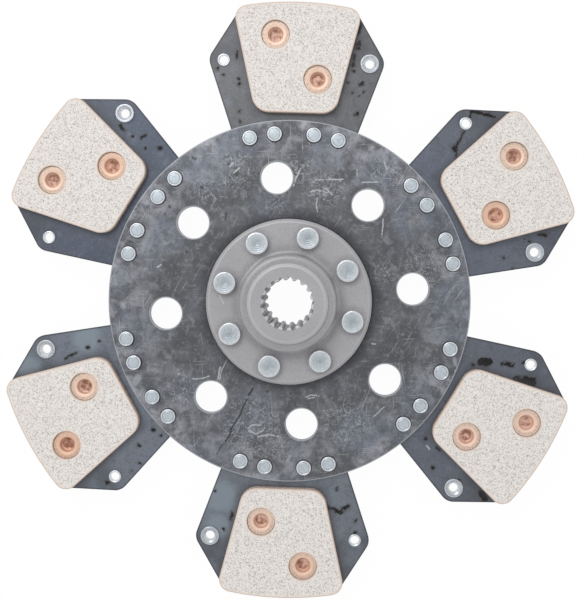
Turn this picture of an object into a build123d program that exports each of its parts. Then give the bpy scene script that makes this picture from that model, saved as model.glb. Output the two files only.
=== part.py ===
from build123d import *
from math import acos, cos, hypot, pi, radians, sin, tan
import os

# A rigid tractor clutch disc of 310 mm with six sintered paddles, in millimetres.
# Z is the shaft's axis and +Z points to the hub's long side, which faces the viewer.
# The origin is on that axis, in the middle of the friction thickness, where the two
# spring-steel sheets of every paddle meet. Paddle 1 points along +Y, and the others
# follow clockwise seen from +Z.

# Friction ring
PADDLES = 6
OUTER_RADIUS = 155.0            # over the pads and the sheets' tips
SHEET_THICKNESS = 1.0           # one spring-steel sheet, two to a paddle
PAD_THICKNESS = 4.0             # sintered pad with its backing

# Driven plate
PLATE_RADIUS = 94.2
PLATE_THICKNESS = 3.0
PLATE_HOLES = 8                 # lightening holes
PLATE_HOLE_RADIUS = 8.25
PLATE_HOLE_MARGIN = 5.75        # between a hole and the sheets' inner ends
PLATE_HOLE_START = 7.44         # degrees counter-clockwise from paddle 1
BARREL_CLEARANCE = 0.1          # between the hub's barrel and the plate's centre hole

# Hub forging
FLANGE_RADIUS = 42.8
FLANGE_THICKNESS = 6.0
FLANGE_FRONT_CHAMFER = 1.6
FLANGE_BACK_CHAMFER = 0.5
BOSS_RADIUS = 20.3              # turned front end of the boss
BOSS_HEIGHT = 14.5              # in front of the flange
BOSS_CHAMFER = 1.5
SHOULDER_STEP = 4.3             # from the boss's turned end out to the forged shoulder
SHOULDER_HEIGHT = 12.0
SHOULDER_FILLET = 2.3           # round the shoulder's front edge
FOOT_FILLET = 2.0               # from the shoulder into the flange
BARREL_RADIUS = 19.5            # behind the flange, through the plate
BARREL_LENGTH = 14.0
BARREL_CHAMFER = 1.0

# Spline in the hub's bore, with 30 degree involute flanks
SPLINE_TEETH = 18
SPLINE_MAJOR_RADIUS = 13.45     # bottom of the grooves
SPLINE_TOOTH_DEPTH = 1.55       # from there to the tips of the hub's teeth
SPLINE_PRESSURE_ANGLE = 30.0
SPLINE_START = -4.1             # degrees, first groove from the paddle 1 direction
SPLINE_MOUTH_CHAMFER = 0.6      # on the tips of the teeth, at both ends

# Hub rivets, through flange and plate
HUB_RIVETS = 8
HUB_RIVET_INSET = 0.55          # of their circle from the middle of the flange's flat
HUB_RIVET_START = -15.1         # degrees from paddle 1
HUB_RIVET_SHANK_RADIUS = 4.0
HUB_RIVET_HEAD_RADIUS = 5.65
HUB_RIVET_HEAD_HEIGHT = 3.3
HUB_RIVET_HEAD_CHAMFER = 0.6

# Paddle rivets, through plate and both sheets
PADDLE_RIVET_RIM_DISTANCE = 7.1     # from a rivet's axis to the plate's rim
PADDLE_RIVET_INNER_ANGLE = 6.71     # degrees off the paddle's centreline
PADDLE_RIVET_OUTER_ANGLE = 15.285
PADDLE_RIVET_SHANK_RADIUS = 2.5
PADDLE_RIVET_HEAD_RADIUS = 3.85
PADDLE_RIVET_HEAD_HEIGHT = 1.5

# Outline of a sheet: a fan that widens to two ears and narrows to the tip
SHEET_HEEL_LENGTH = 8.6         # from the paddle rivets' circle to the sheet's inner end
SHEET_SIDE_ANGLE = 19.5         # degrees between the lower side and the centreline
SHEET_SHOULDER_ANGLE = 31.2     # degrees between the upper side and the centreline
SHEET_TIP_FILLET = 4.0
EAR_TIP_DISTANCE = 24.7         # from the ear rivets' circle to the outer radius
EAR_ANGLE = 16.97               # degrees off the paddle's centreline
EAR_RADIUS = 7.4                # round end of an ear, about its rivet

# Tubular ear rivets, through both sheets
EAR_RIVET_SHANK_RADIUS = 2.75
EAR_RIVET_WALL = 0.45
EAR_RIVET_HEAD_RADIUS = 4.95
EAR_RIVET_HEAD_HEIGHT = 1.0
EAR_RIVET_FLARE_RADIUS = 3.6    # mouth of the funnel in the head
EAR_RIVET_ROLL_RADIUS = 3.25    # rolled end on the far side
EAR_RIVET_ROLL_HEIGHT = 0.6

# Outline of a pad: a trapezium with round corners and an arched top
PAD_PLATE_GAP = 3.6             # between the plate's rim and a pad's straight lower edge
PAD_FOOT_HALF_WIDTH = 20.8      # to the lower corner, before it is rounded
PAD_SIDE_ANGLE = 13.5           # degrees between a side and the centreline
PAD_FOOT_FILLET = 9.0
PAD_TOP_FILLET = 6.5
PAD_EDGE_CHAMFER = 0.4          # round the friction face

# Copper pad rivets: rolled over in the pad's counterbore, countersunk behind the sheet
PAD_RIVET_SHIFT = 0.3           # of the pair's middle from mid-pad, outwards
PAD_RIVET_ACROSS = 11.25        # of each rivet from that middle, across the paddle
PAD_RIVET_ALONG = 11.3          # and along it
PAD_RIVET_SHANK_RADIUS = 4.5
PAD_RIVET_WALL = 0.75
PAD_RIVET_ROLL_RADIUS = 6.8
PAD_RIVET_ROLL_HEIGHT = 1.0
PAD_RIVET_FLOOR = 0.8           # closed bottom under the bore
PAD_COUNTERBORE_CLEARANCE = 0.5     # round the roll
PAD_COUNTERBORE_DEPTH = 2.2

# Radii that follow from those of the piece that they belong to or go round
SHOULDER_RADIUS = BOSS_RADIUS + SHOULDER_STEP
FOOT_RADIUS = SHOULDER_RADIUS + FOOT_FILLET
SPLINE_MINOR_RADIUS = SPLINE_MAJOR_RADIUS - SPLINE_TOOTH_DEPTH
EAR_RIVET_BORE_RADIUS = EAR_RIVET_SHANK_RADIUS - EAR_RIVET_WALL
PAD_RIVET_BORE_RADIUS = PAD_RIVET_SHANK_RADIUS - PAD_RIVET_WALL
PAD_RIVET_SINK_RADIUS = PAD_RIVET_SHANK_RADIUS + SHEET_THICKNESS    # a 90 degree countersink
PAD_COUNTERBORE_RADIUS = PAD_RIVET_ROLL_RADIUS + PAD_COUNTERBORE_CLEARANCE

# Places that follow from the flange, the plate's rim and the outer radius
HUB_RIVET_CIRCLE = (FOOT_RADIUS + FLANGE_RADIUS) / 2 - HUB_RIVET_INSET
PADDLE_RIVET_CIRCLE = PLATE_RADIUS - PADDLE_RIVET_RIM_DISTANCE
SHEET_INNER_RADIUS = PADDLE_RIVET_CIRCLE - SHEET_HEEL_LENGTH
PLATE_HOLE_CIRCLE = SHEET_INNER_RADIUS - PLATE_HOLE_MARGIN - PLATE_HOLE_RADIUS
EAR_CIRCLE = OUTER_RADIUS - EAR_TIP_DISTANCE
PAD_FOOT = PLATE_RADIUS + PAD_PLATE_GAP
PAD_RIVET_CENTRE = (PAD_FOOT + OUTER_RADIUS) / 2 + PAD_RIVET_SHIFT

# Heights that follow from the stack, from the middle outwards
PAD_SEAT_Z = SHEET_THICKNESS
FRICTION_FACE_Z = PAD_SEAT_Z + PAD_THICKNESS
PLATE_BACK_Z = SHEET_THICKNESS
FLANGE_SEAT_Z = PLATE_BACK_Z + PLATE_THICKNESS
FLANGE_FRONT_Z = FLANGE_SEAT_Z + FLANGE_THICKNESS
BOSS_FRONT_Z = FLANGE_FRONT_Z + BOSS_HEIGHT
BARREL_END_Z = FLANGE_SEAT_Z - BARREL_LENGTH
HUB_LENGTH = BOSS_FRONT_Z - BARREL_END_Z

FLIP = Rot(Y=180)               # turns a paddle's front half over, to its back


def polar(radius, angle):
    """Point at a radius, its angle in degrees clockwise from the paddle's centreline."""
    return radius * sin(radians(angle)), radius * cos(radians(angle))


def ring_of(count, start=0.0):
    """Evenly spaced turns about the shaft, clockwise from a start given counter-clockwise."""
    return [Rot(Z=start - k * 360 / count) for k in range(count)]


def turned(*profile):
    """Solid turned about Z from (radius, height) corners."""
    return revolve(Plane.XZ * make_face(Polyline(*profile, close=True)), Axis.Z)


def at(point, shape):
    """The shape moved to a point of the XY plane, at its own height."""
    return Pos(*point) * shape


PADDLE_RIVET_POINTS = [
    polar(PADDLE_RIVET_CIRCLE, side * angle)
    for side in (-1, 1)
    for angle in (PADDLE_RIVET_INNER_ANGLE, PADDLE_RIVET_OUTER_ANGLE)
]
EAR_POINT = polar(EAR_CIRCLE, EAR_ANGLE)            # rivet set from the front
EAR_POINTS = [EAR_POINT, (-EAR_POINT[0], EAR_POINT[1])]
PAD_RIVET_POINTS = [
    (-PAD_RIVET_ACROSS, PAD_RIVET_CENTRE + PAD_RIVET_ALONG),
    (PAD_RIVET_ACROSS, PAD_RIVET_CENTRE - PAD_RIVET_ALONG),
]


def involute(angle):
    """Involute function of a pressure angle in radians."""
    return tan(angle) - angle


def spline_groove():
    """One groove of the bore, along +Y, with flanks that follow the involute."""
    pitch = (SPLINE_MAJOR_RADIUS + SPLINE_MINOR_RADIUS) / 2
    base = pitch * cos(radians(SPLINE_PRESSURE_ANGLE))
    at_pitch = pi / (2 * SPLINE_TEETH) + involute(radians(SPLINE_PRESSURE_ANGLE))

    def flank(radius, side):
        half_angle = at_pitch - involute(acos(base / radius))
        return radius * sin(side * half_angle), radius * cos(half_angle)

    stations = (SPLINE_MINOR_RADIUS, pitch, SPLINE_MAJOR_RADIUS)
    left = [flank(radius, -1) for radius in stations]
    right = [flank(radius, 1) for radius in stations]
    edges = [
        ThreePointArc(*left),
        ThreePointArc(left[-1], (0, SPLINE_MAJOR_RADIUS), right[-1]),
        ThreePointArc(*right),
        Polyline(left[0], (0, 0), right[0]),
    ]
    return make_face(Curve() + edges)


def spline_bore():
    """What the splined shaft's hole takes out of the hub, with the teeth chamfered at each end."""
    section = Circle(SPLINE_MINOR_RADIUS)
    section += [turn * spline_groove() for turn in ring_of(SPLINE_TEETH, SPLINE_START)]
    bore = Pos(Z=BARREL_END_Z) * extrude(section, HUB_LENGTH)
    mouth = SPLINE_MINOR_RADIUS + SPLINE_MOUTH_CHAMFER
    for end, inward in ((BARREL_END_Z, 1), (BOSS_FRONT_Z, -1)):
        bore += turned((0, end), (mouth, end), (0, end + inward * mouth))
    return bore


def hub():
    """Forged and turned hub: boss, riveting flange, barrel and splined bore."""
    foot_z = FLANGE_FRONT_Z + FOOT_FILLET
    shoulder_z = FLANGE_FRONT_Z + SHOULDER_HEIGHT
    edge = (SHOULDER_RADIUS - SHOULDER_FILLET, shoulder_z)
    top = (SHOULDER_RADIUS, shoulder_z - SHOULDER_FILLET)
    bend = 1 - cos(radians(45))
    below = Polyline(
        edge,
        (BOSS_RADIUS, shoulder_z),
        (BOSS_RADIUS, BOSS_FRONT_Z - BOSS_CHAMFER),
        (BOSS_RADIUS - BOSS_CHAMFER, BOSS_FRONT_Z),
        (0, BOSS_FRONT_Z),
        (0, BARREL_END_Z),
        (BARREL_RADIUS - BARREL_CHAMFER, BARREL_END_Z),
        (BARREL_RADIUS, BARREL_END_Z + BARREL_CHAMFER),
        (BARREL_RADIUS, FLANGE_SEAT_Z),
        (FLANGE_RADIUS - FLANGE_BACK_CHAMFER, FLANGE_SEAT_Z),
        (FLANGE_RADIUS, FLANGE_SEAT_Z + FLANGE_BACK_CHAMFER),
        (FLANGE_RADIUS, FLANGE_FRONT_Z - FLANGE_FRONT_CHAMFER),
        (FLANGE_RADIUS - FLANGE_FRONT_CHAMFER, FLANGE_FRONT_Z),
        (FOOT_RADIUS, FLANGE_FRONT_Z),
    )
    foot_arc = ThreePointArc(
        (FOOT_RADIUS, FLANGE_FRONT_Z),
        (SHOULDER_RADIUS + FOOT_FILLET * bend, FLANGE_FRONT_Z + FOOT_FILLET * bend),
        (SHOULDER_RADIUS, foot_z),
    )
    wall = Line((SHOULDER_RADIUS, foot_z), top)
    shoulder_arc = ThreePointArc(
        top,
        (SHOULDER_RADIUS - SHOULDER_FILLET * bend, shoulder_z - SHOULDER_FILLET * bend),
        edge,
    )
    outline = Curve() + [below, foot_arc, wall, shoulder_arc]
    blank = revolve(Plane.XZ * make_face(outline), Axis.Z)
    hole = Cylinder(
        HUB_RIVET_SHANK_RADIUS, FLANGE_THICKNESS, align=(Align.CENTER, Align.CENTER, Align.MIN)
    )
    holes = [
        turn * Pos(0, HUB_RIVET_CIRCLE, FLANGE_SEAT_Z) * hole
        for turn in ring_of(HUB_RIVETS, HUB_RIVET_START)
    ]
    return blank - spline_bore() - holes


def driven_plate():
    """Rolled steel disc that joins the hub's flange to the six paddles."""
    outline = Circle(PLATE_RADIUS) - Circle(BARREL_RADIUS + BARREL_CLEARANCE)
    outline -= [
        turn * Pos(0, PLATE_HOLE_CIRCLE) * Circle(PLATE_HOLE_RADIUS)
        for turn in ring_of(PLATE_HOLES, PLATE_HOLE_START)
    ]
    outline -= [
        turn * Pos(0, HUB_RIVET_CIRCLE) * Circle(HUB_RIVET_SHANK_RADIUS)
        for turn in ring_of(HUB_RIVETS, HUB_RIVET_START)
    ]
    outline -= [
        turn * Pos(*point) * Circle(PADDLE_RIVET_SHANK_RADIUS)
        for turn in ring_of(PADDLES)
        for point in PADDLE_RIVET_POINTS
    ]
    return Pos(Z=PLATE_BACK_Z) * extrude(outline, PLATE_THICKNESS)


def side_point(angle, height):
    """Where a straight side of a sheet, tangent to its ear, is at a distance along the paddle.

    The side leans by the angle, outwards from the centreline where the angle is positive.
    """
    ear_x, ear_y = EAR_POINT
    across = EAR_RADIUS / cos(radians(angle))
    return ear_x + across + (height - ear_y) * tan(radians(angle)), height


def sheet_outline():
    """Outline of a paddle's sheet, before its holes."""
    reach = OUTER_RADIUS + EAR_RADIUS
    ear_x, ear_y = EAR_POINT
    lower, upper = SHEET_SIDE_ANGLE, -SHEET_SHOULDER_ANGLE
    gap = EAR_RADIUS / cos(radians(lower)) - EAR_RADIUS / cos(radians(upper))
    corner_y = ear_y - gap / (tan(radians(lower)) - tan(radians(upper)))
    right = [side_point(lower, 0), side_point(lower, corner_y), side_point(upper, reach)]
    left = [(-x, y) for x, y in reversed(right)]
    fan = make_face(Polyline(*right, *left, close=True))
    ears = fan.vertices().filter_by(lambda v: abs(v.Y - corner_y) < EAR_RADIUS / 10)
    fan = fillet(ears, EAR_RADIUS) & Circle(OUTER_RADIUS)
    fan = fillet(fan.vertices().group_by(Axis.Y)[-1], SHEET_TIP_FILLET)
    return fan - Circle(SHEET_INNER_RADIUS)


def front_sheet():
    """Front spring-steel sheet of paddle 1. The countersinks open on its inner face."""
    outline = sheet_outline()
    outline -= [Pos(*point) * Circle(PADDLE_RIVET_SHANK_RADIUS) for point in PADDLE_RIVET_POINTS]
    outline -= [Pos(*point) * Circle(EAR_RIVET_SHANK_RADIUS) for point in EAR_POINTS]
    sink = turned(
        (0, 0),
        (PAD_RIVET_SINK_RADIUS, 0),
        (PAD_RIVET_SHANK_RADIUS, SHEET_THICKNESS),
        (0, SHEET_THICKNESS),
    )
    return extrude(outline, SHEET_THICKNESS) - [at(point, sink) for point in PAD_RIVET_POINTS]


def pad_outline():
    """Outline of a pad: straight foot and sides, arched top, round corners."""
    lean = tan(radians(PAD_SIDE_ANGLE))
    reach = PAD_FOOT_HALF_WIDTH + (OUTER_RADIUS - PAD_FOOT) * lean
    right = [(PAD_FOOT_HALF_WIDTH, PAD_FOOT), (reach, OUTER_RADIUS)]
    left = [(-x, y) for x, y in reversed(right)]
    pad = make_face(Polyline(*right, *left, close=True)) & Circle(OUTER_RADIUS)
    pad = fillet(pad.vertices().group_by(Axis.Y)[0], PAD_FOOT_FILLET)
    return fillet(pad.vertices().group_by(Axis.Y)[-1], PAD_TOP_FILLET)


def front_pad():
    """Front sintered pad of paddle 1, counterbored for its two rivets."""
    pad = Pos(Z=PAD_SEAT_Z) * extrude(pad_outline(), PAD_THICKNESS)
    pad = chamfer(pad.faces().sort_by(Axis.Z)[-1].edges(), PAD_EDGE_CHAMFER)
    floor_z = FRICTION_FACE_Z - PAD_COUNTERBORE_DEPTH
    hole = turned(
        (0, PAD_SEAT_Z),
        (PAD_RIVET_SHANK_RADIUS, PAD_SEAT_Z),
        (PAD_RIVET_SHANK_RADIUS, floor_z),
        (PAD_COUNTERBORE_RADIUS, floor_z),
        (PAD_COUNTERBORE_RADIUS, FRICTION_FACE_Z),
        (0, FRICTION_FACE_Z),
    )
    return pad - [at(point, hole) for point in PAD_RIVET_POINTS]


def pad_rivet():
    """Copper rivet of a front pad, closed behind and rolled over in the counterbore."""
    floor_z = FRICTION_FACE_Z - PAD_COUNTERBORE_DEPTH
    roll_z = floor_z + PAD_RIVET_ROLL_HEIGHT
    return turned(
        (0, 0),
        (PAD_RIVET_SINK_RADIUS, 0),
        (PAD_RIVET_SHANK_RADIUS, SHEET_THICKNESS),
        (PAD_RIVET_SHANK_RADIUS, floor_z),
        (PAD_RIVET_ROLL_RADIUS, floor_z),
        (PAD_RIVET_ROLL_RADIUS, roll_z),
        (PAD_RIVET_BORE_RADIUS, roll_z),
        (PAD_RIVET_BORE_RADIUS, PAD_RIVET_FLOOR),
        (0, PAD_RIVET_FLOOR),
    )


def ear_rivet():
    """Tubular rivet set from the front, with its funnel head there and its rolled end behind."""
    head_z = SHEET_THICKNESS + EAR_RIVET_HEAD_HEIGHT
    roll_z = -SHEET_THICKNESS - EAR_RIVET_ROLL_HEIGHT
    return turned(
        (EAR_RIVET_BORE_RADIUS, roll_z),
        (EAR_RIVET_ROLL_RADIUS, roll_z),
        (EAR_RIVET_ROLL_RADIUS, -SHEET_THICKNESS),
        (EAR_RIVET_SHANK_RADIUS, -SHEET_THICKNESS),
        (EAR_RIVET_SHANK_RADIUS, SHEET_THICKNESS),
        (EAR_RIVET_HEAD_RADIUS, SHEET_THICKNESS),
        (EAR_RIVET_HEAD_RADIUS, head_z),
        (EAR_RIVET_FLARE_RADIUS, head_z),
        (EAR_RIVET_BORE_RADIUS, SHEET_THICKNESS),
    )


def paddle_rivet():
    """Solid rivet through the plate and both sheets, with a flat head on each side."""
    return turned(
        (0, -SHEET_THICKNESS - PADDLE_RIVET_HEAD_HEIGHT),
        (PADDLE_RIVET_HEAD_RADIUS, -SHEET_THICKNESS - PADDLE_RIVET_HEAD_HEIGHT),
        (PADDLE_RIVET_HEAD_RADIUS, -SHEET_THICKNESS),
        (PADDLE_RIVET_SHANK_RADIUS, -SHEET_THICKNESS),
        (PADDLE_RIVET_SHANK_RADIUS, FLANGE_SEAT_Z),
        (PADDLE_RIVET_HEAD_RADIUS, FLANGE_SEAT_Z),
        (PADDLE_RIVET_HEAD_RADIUS, FLANGE_SEAT_Z + PADDLE_RIVET_HEAD_HEIGHT),
        (0, FLANGE_SEAT_Z + PADDLE_RIVET_HEAD_HEIGHT),
    )


def hub_rivet():
    """Solid rivet through the hub's flange and the plate, with a bevelled head on each side."""
    flat = HUB_RIVET_HEAD_RADIUS - HUB_RIVET_HEAD_CHAMFER
    front_z = FLANGE_FRONT_Z + HUB_RIVET_HEAD_HEIGHT
    back_z = PLATE_BACK_Z - HUB_RIVET_HEAD_HEIGHT
    return turned(
        (0, back_z),
        (flat, back_z),
        (HUB_RIVET_HEAD_RADIUS, back_z + HUB_RIVET_HEAD_CHAMFER),
        (HUB_RIVET_HEAD_RADIUS, PLATE_BACK_Z),
        (HUB_RIVET_SHANK_RADIUS, PLATE_BACK_Z),
        (HUB_RIVET_SHANK_RADIUS, FLANGE_FRONT_Z),
        (HUB_RIVET_HEAD_RADIUS, FLANGE_FRONT_Z),
        (HUB_RIVET_HEAD_RADIUS, front_z - HUB_RIVET_HEAD_CHAMFER),
        (flat, front_z),
        (0, front_z),
    )


def write(name, *solids):
    """One STEP file for a node of one or more solids."""
    shape = solids[0] if len(solids) == 1 else Compound(list(solids))
    export_step(shape, f"parts/{name}.step")


write("hub", hub())
write("driven_plate", driven_plate())

rivet = hub_rivet()
write(
    "hub_rivets",
    *[turn * Pos(0, HUB_RIVET_CIRCLE) * rivet for turn in ring_of(HUB_RIVETS, HUB_RIVET_START)],
)
rivet = paddle_rivet()
write(
    "paddle_rivets",
    *[turn * at(point, rivet) for turn in ring_of(PADDLES) for point in PADDLE_RIVET_POINTS],
)

sheet = front_sheet()
pad = front_pad()
copper = [at(point, pad_rivet()) for point in PAD_RIVET_POINTS]
tube = at(EAR_POINT, ear_rivet())
for side, turned_over in (("front", Rot()), ("back", FLIP)):
    for number, turn in enumerate(ring_of(PADDLES), start=1):
        write(f"{side}_sheet_{number}", turn * turned_over * sheet)
        write(f"{side}_pad_{number}", turn * turned_over * pad)
    write(
        f"{side}_pad_rivets",
        *[turn * turned_over * rivet for turn in ring_of(PADDLES) for rivet in copper],
    )
    write(f"{side}_ear_rivets", *[turn * turned_over * tube for turn in ring_of(PADDLES)])
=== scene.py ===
"""Looks of a riveted six-paddle clutch disc: its pieces, finishes, light and camera."""
import logging
from collections.abc import Iterable, Mapping, Sequence
from dataclasses import dataclass, field
from enum import Enum
from functools import reduce
from itertools import pairwise
from math import acos, atan2, ceil, cos, pi, radians, sin, sqrt, tan

import bpy
from mathutils import Euler, Matrix, Vector
from mathutils.geometry import delaunay_2d_cdt


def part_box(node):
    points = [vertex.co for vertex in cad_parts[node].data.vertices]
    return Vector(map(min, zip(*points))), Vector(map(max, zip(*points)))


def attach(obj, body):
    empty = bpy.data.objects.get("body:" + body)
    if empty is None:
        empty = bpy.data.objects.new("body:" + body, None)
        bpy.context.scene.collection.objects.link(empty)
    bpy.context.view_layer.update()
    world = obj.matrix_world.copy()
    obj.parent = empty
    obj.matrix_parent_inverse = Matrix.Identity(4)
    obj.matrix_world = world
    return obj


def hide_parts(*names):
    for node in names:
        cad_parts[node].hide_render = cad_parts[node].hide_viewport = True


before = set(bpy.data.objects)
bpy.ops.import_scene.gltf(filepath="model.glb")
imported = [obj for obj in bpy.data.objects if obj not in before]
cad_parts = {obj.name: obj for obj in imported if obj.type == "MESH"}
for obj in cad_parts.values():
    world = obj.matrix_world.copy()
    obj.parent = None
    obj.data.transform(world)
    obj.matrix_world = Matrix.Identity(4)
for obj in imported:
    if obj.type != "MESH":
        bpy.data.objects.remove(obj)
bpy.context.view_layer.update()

LOG = logging.getLogger("clutch_disc")

MM = 0.001
FULL_TURN = 2 * pi
PADDLES = range(1, 7)
AXIS = (0.0, 0.0)               # the shaft's axis, seen along it
ARC_SAGITTA = 0.01 * MM         # how far a chord may leave its arc
FLAT_RISE = 0.001 * MM          # rings closer in height than this bound a flat face
FILLET_STEPS = 4
INSIDE = 1                      # the triangulation's output: what lies inside the edges
OPEN_FACE = 10 * MM             # mark of a place that is far from an edge
DRILLED = -1 * MM               # mark of a wall that a drill left

Point = tuple[float, float]
Corner = tuple[float, float, float]
Colour = tuple[float, float, float, float]
Ring = list[int]
Span = tuple[float, float]      # where a mask starts and where it is full
Inputs = Mapping[str | int, object]
Material = bpy.types.Material
Socket = bpy.types.NodeSocket
Tree = bpy.types.NodeTree


class Side(Enum):
    """The two faces of the disc. The hub's long boss is on the front one."""

    FRONT = "front"
    BACK = "back"


class Slot(Enum):
    """Material slots of the record."""

    HUB = "hub_steel"
    PLATE = "plate_steel"
    SHEET = "sheet_steel"
    RIVET = "zinc_rivet"
    PAD = "sintered_pad"
    COPPER = "copper_rivet"


def paddle_turn(number: int, side: Side = Side.FRONT) -> Matrix:
    """Turn that brings the front half of paddle 1 to another paddle and side.

    Args:
        number: the paddle, counted clockwise from the one along +Y.
        side: the face of the disc.

    Returns:
        The turn as a 4 by 4 matrix.
    """
    flip = Matrix.Rotation(pi if side is Side.BACK else 0.0, 4, "Y")
    return Matrix.Rotation(-FULL_TURN / len(PADDLES) * (number - 1), 4, "Z") @ flip


def on_circle(radius: float, angle: float, centre: Point = AXIS) -> Point:
    """Point of a circle, its angle in radians counter-clockwise from +X."""
    return centre[0] + radius * cos(angle), centre[1] + radius * sin(angle)


def off_centreline(radius: float, angle: float) -> Point:
    """Point at a radius, its angle in radians clockwise from the paddle's centreline."""
    return on_circle(radius, pi / 2 - angle)


def around(points: Iterable[Point], side: Side = Side.FRONT) -> list[Matrix]:
    """Places of what stands at the points of paddle 1 and at the same ones of the others."""
    here = [Matrix.Translation((*point, 0.0)) for point in points]
    return [paddle_turn(number, side) @ place for number in PADDLES for place in here]


def evenly(start: float, end: float, steps: int) -> list[float]:
    """Values from start to end, both kept, in even steps."""
    return [start + (end - start) * step / steps for step in range(steps + 1)]


def arc_steps(radius: float, sweep: float) -> int:
    """Number of chords that keep an arc within the sagitta."""
    return max(3, ceil(abs(sweep) / (2 * sqrt(2 * ARC_SAGITTA / radius))))


@dataclass(frozen=True)
class Arc:
    """Round stretch of an outline between two directions, in radians from +X."""

    centre: Point
    radius: float
    start: float
    end: float

    def points(self) -> list[Point]:
        """Points along the arc, with both its ends."""
        steps = arc_steps(self.radius, self.end - self.start)
        return [on_circle(self.radius, a, self.centre) for a in evenly(self.start, self.end, steps)]

    def mirrored(self) -> "Arc":
        """The same stretch on the other side of the paddle's centreline."""
        return Arc((-self.centre[0], self.centre[1]), self.radius, pi - self.end, pi - self.start)


@dataclass(frozen=True)
class StraightSide:
    """Straight right-hand side of an outline, which leans outwards by an angle in radians."""

    lean: float
    offset: float

    @classmethod
    def beside(cls, point: Point, lean: float, distance: float = 0.0) -> "StraightSide":
        """Side that passes a point at a distance, outside it."""
        return cls(lean, point[0] * cos(lean) - point[1] * sin(lean) + distance)

    def at_radius(self, radius: float, inset: float = 0.0) -> Point:
        """Finds where the side crosses a circle about the shaft's axis.

        Args:
            radius: of the circle.
            inset: how far inwards the side is moved first.

        Returns:
            The crossing on the right.
        """
        reach = self.offset - inset
        climb = sqrt(radius**2 - reach**2)
        across, along = cos(self.lean), sin(self.lean)
        return reach * across + climb * along, climb * across - reach * along

    def outer_corner(self, outer_radius: float, fillet: float) -> Arc:
        """Round corner between this side and the outer circle."""
        centre = self.at_radius(outer_radius - fillet, fillet)
        return Arc(centre, fillet, -self.lean, atan2(centre[1], centre[0]))


def joined(arcs: Iterable[Arc]) -> list[Point]:
    """Joins arcs by straight lines, without repeated points.

    Args:
        arcs: the round stretches in order.

    Returns:
        The closed outline.
    """
    points = [point for arc in arcs for point in arc.points()]
    return [
        here for before, here in zip(points[-1:] + points, points)
        if (Vector(here) - Vector(before)).length > ARC_SAGITTA
    ]


def circle(radius: float, centre: Point = AXIS) -> list[Point]:
    """Counter-clockwise circle."""
    return Arc(centre, radius, 0.0, FULL_TURN).points()[:-1]


def hole(radius: float, centre: Point = AXIS) -> list[Point]:
    """Clockwise circle, which has the material on its left as a hole's outline needs."""
    return circle(radius, centre)[::-1]


def inset(outline: Sequence[Point], distance: float) -> list[Point]:
    """Moves an outline into the material, which lies on the left of its direction.

    Args:
        outline: its points, of which the last joins the first.
        distance: how far.

    Returns:
        The moved points, as many as before.
    """
    count = len(outline)
    moved = []
    for k, here in enumerate(outline):
        before = (Vector(here) - Vector(outline[k - 1])).normalized()
        after = (Vector(outline[(k + 1) % count]) - Vector(here)).normalized()
        mitre = (before + after) / (1 + before.dot(after))
        moved.append((here[0] - mitre.y * distance, here[1] + mitre.x * distance))
    return moved


def rounded(corners: Sequence[Corner], closed: bool = False) -> list[Point]:
    """Line through corners, each rounded by its own radius.

    Args:
        corners: (x, y, rounding) of each corner. The ends of an open line stay sharp.
        closed: whether the last corner joins the first.

    Returns:
        The points of the line, with an arc at each corner that has a rounding.
    """
    points: list[Point] = []
    count = len(corners)
    for k, (x, y, radius) in enumerate(corners):
        if radius == 0 or not closed and k in (0, count - 1):
            points.append((x, y))
            continue
        here = Vector((x, y))
        back = (Vector(corners[k - 1][:2]) - here).normalized()
        ahead = (Vector(corners[(k + 1) % count][:2]) - here).normalized()
        half = back.angle(ahead) / 2
        centre = here + (back + ahead).normalized() * radius / sin(half)
        start = here + back * radius / tan(half) - centre
        end = here + ahead * radius / tan(half) - centre
        first = atan2(start.y, start.x)
        sweep = (atan2(end.y, end.x) - first + pi) % FULL_TURN - pi
        arc = evenly(first, first + sweep, FILLET_STEPS)
        points += [on_circle(radius, angle, (centre.x, centre.y)) for angle in arc]
    return points


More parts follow.
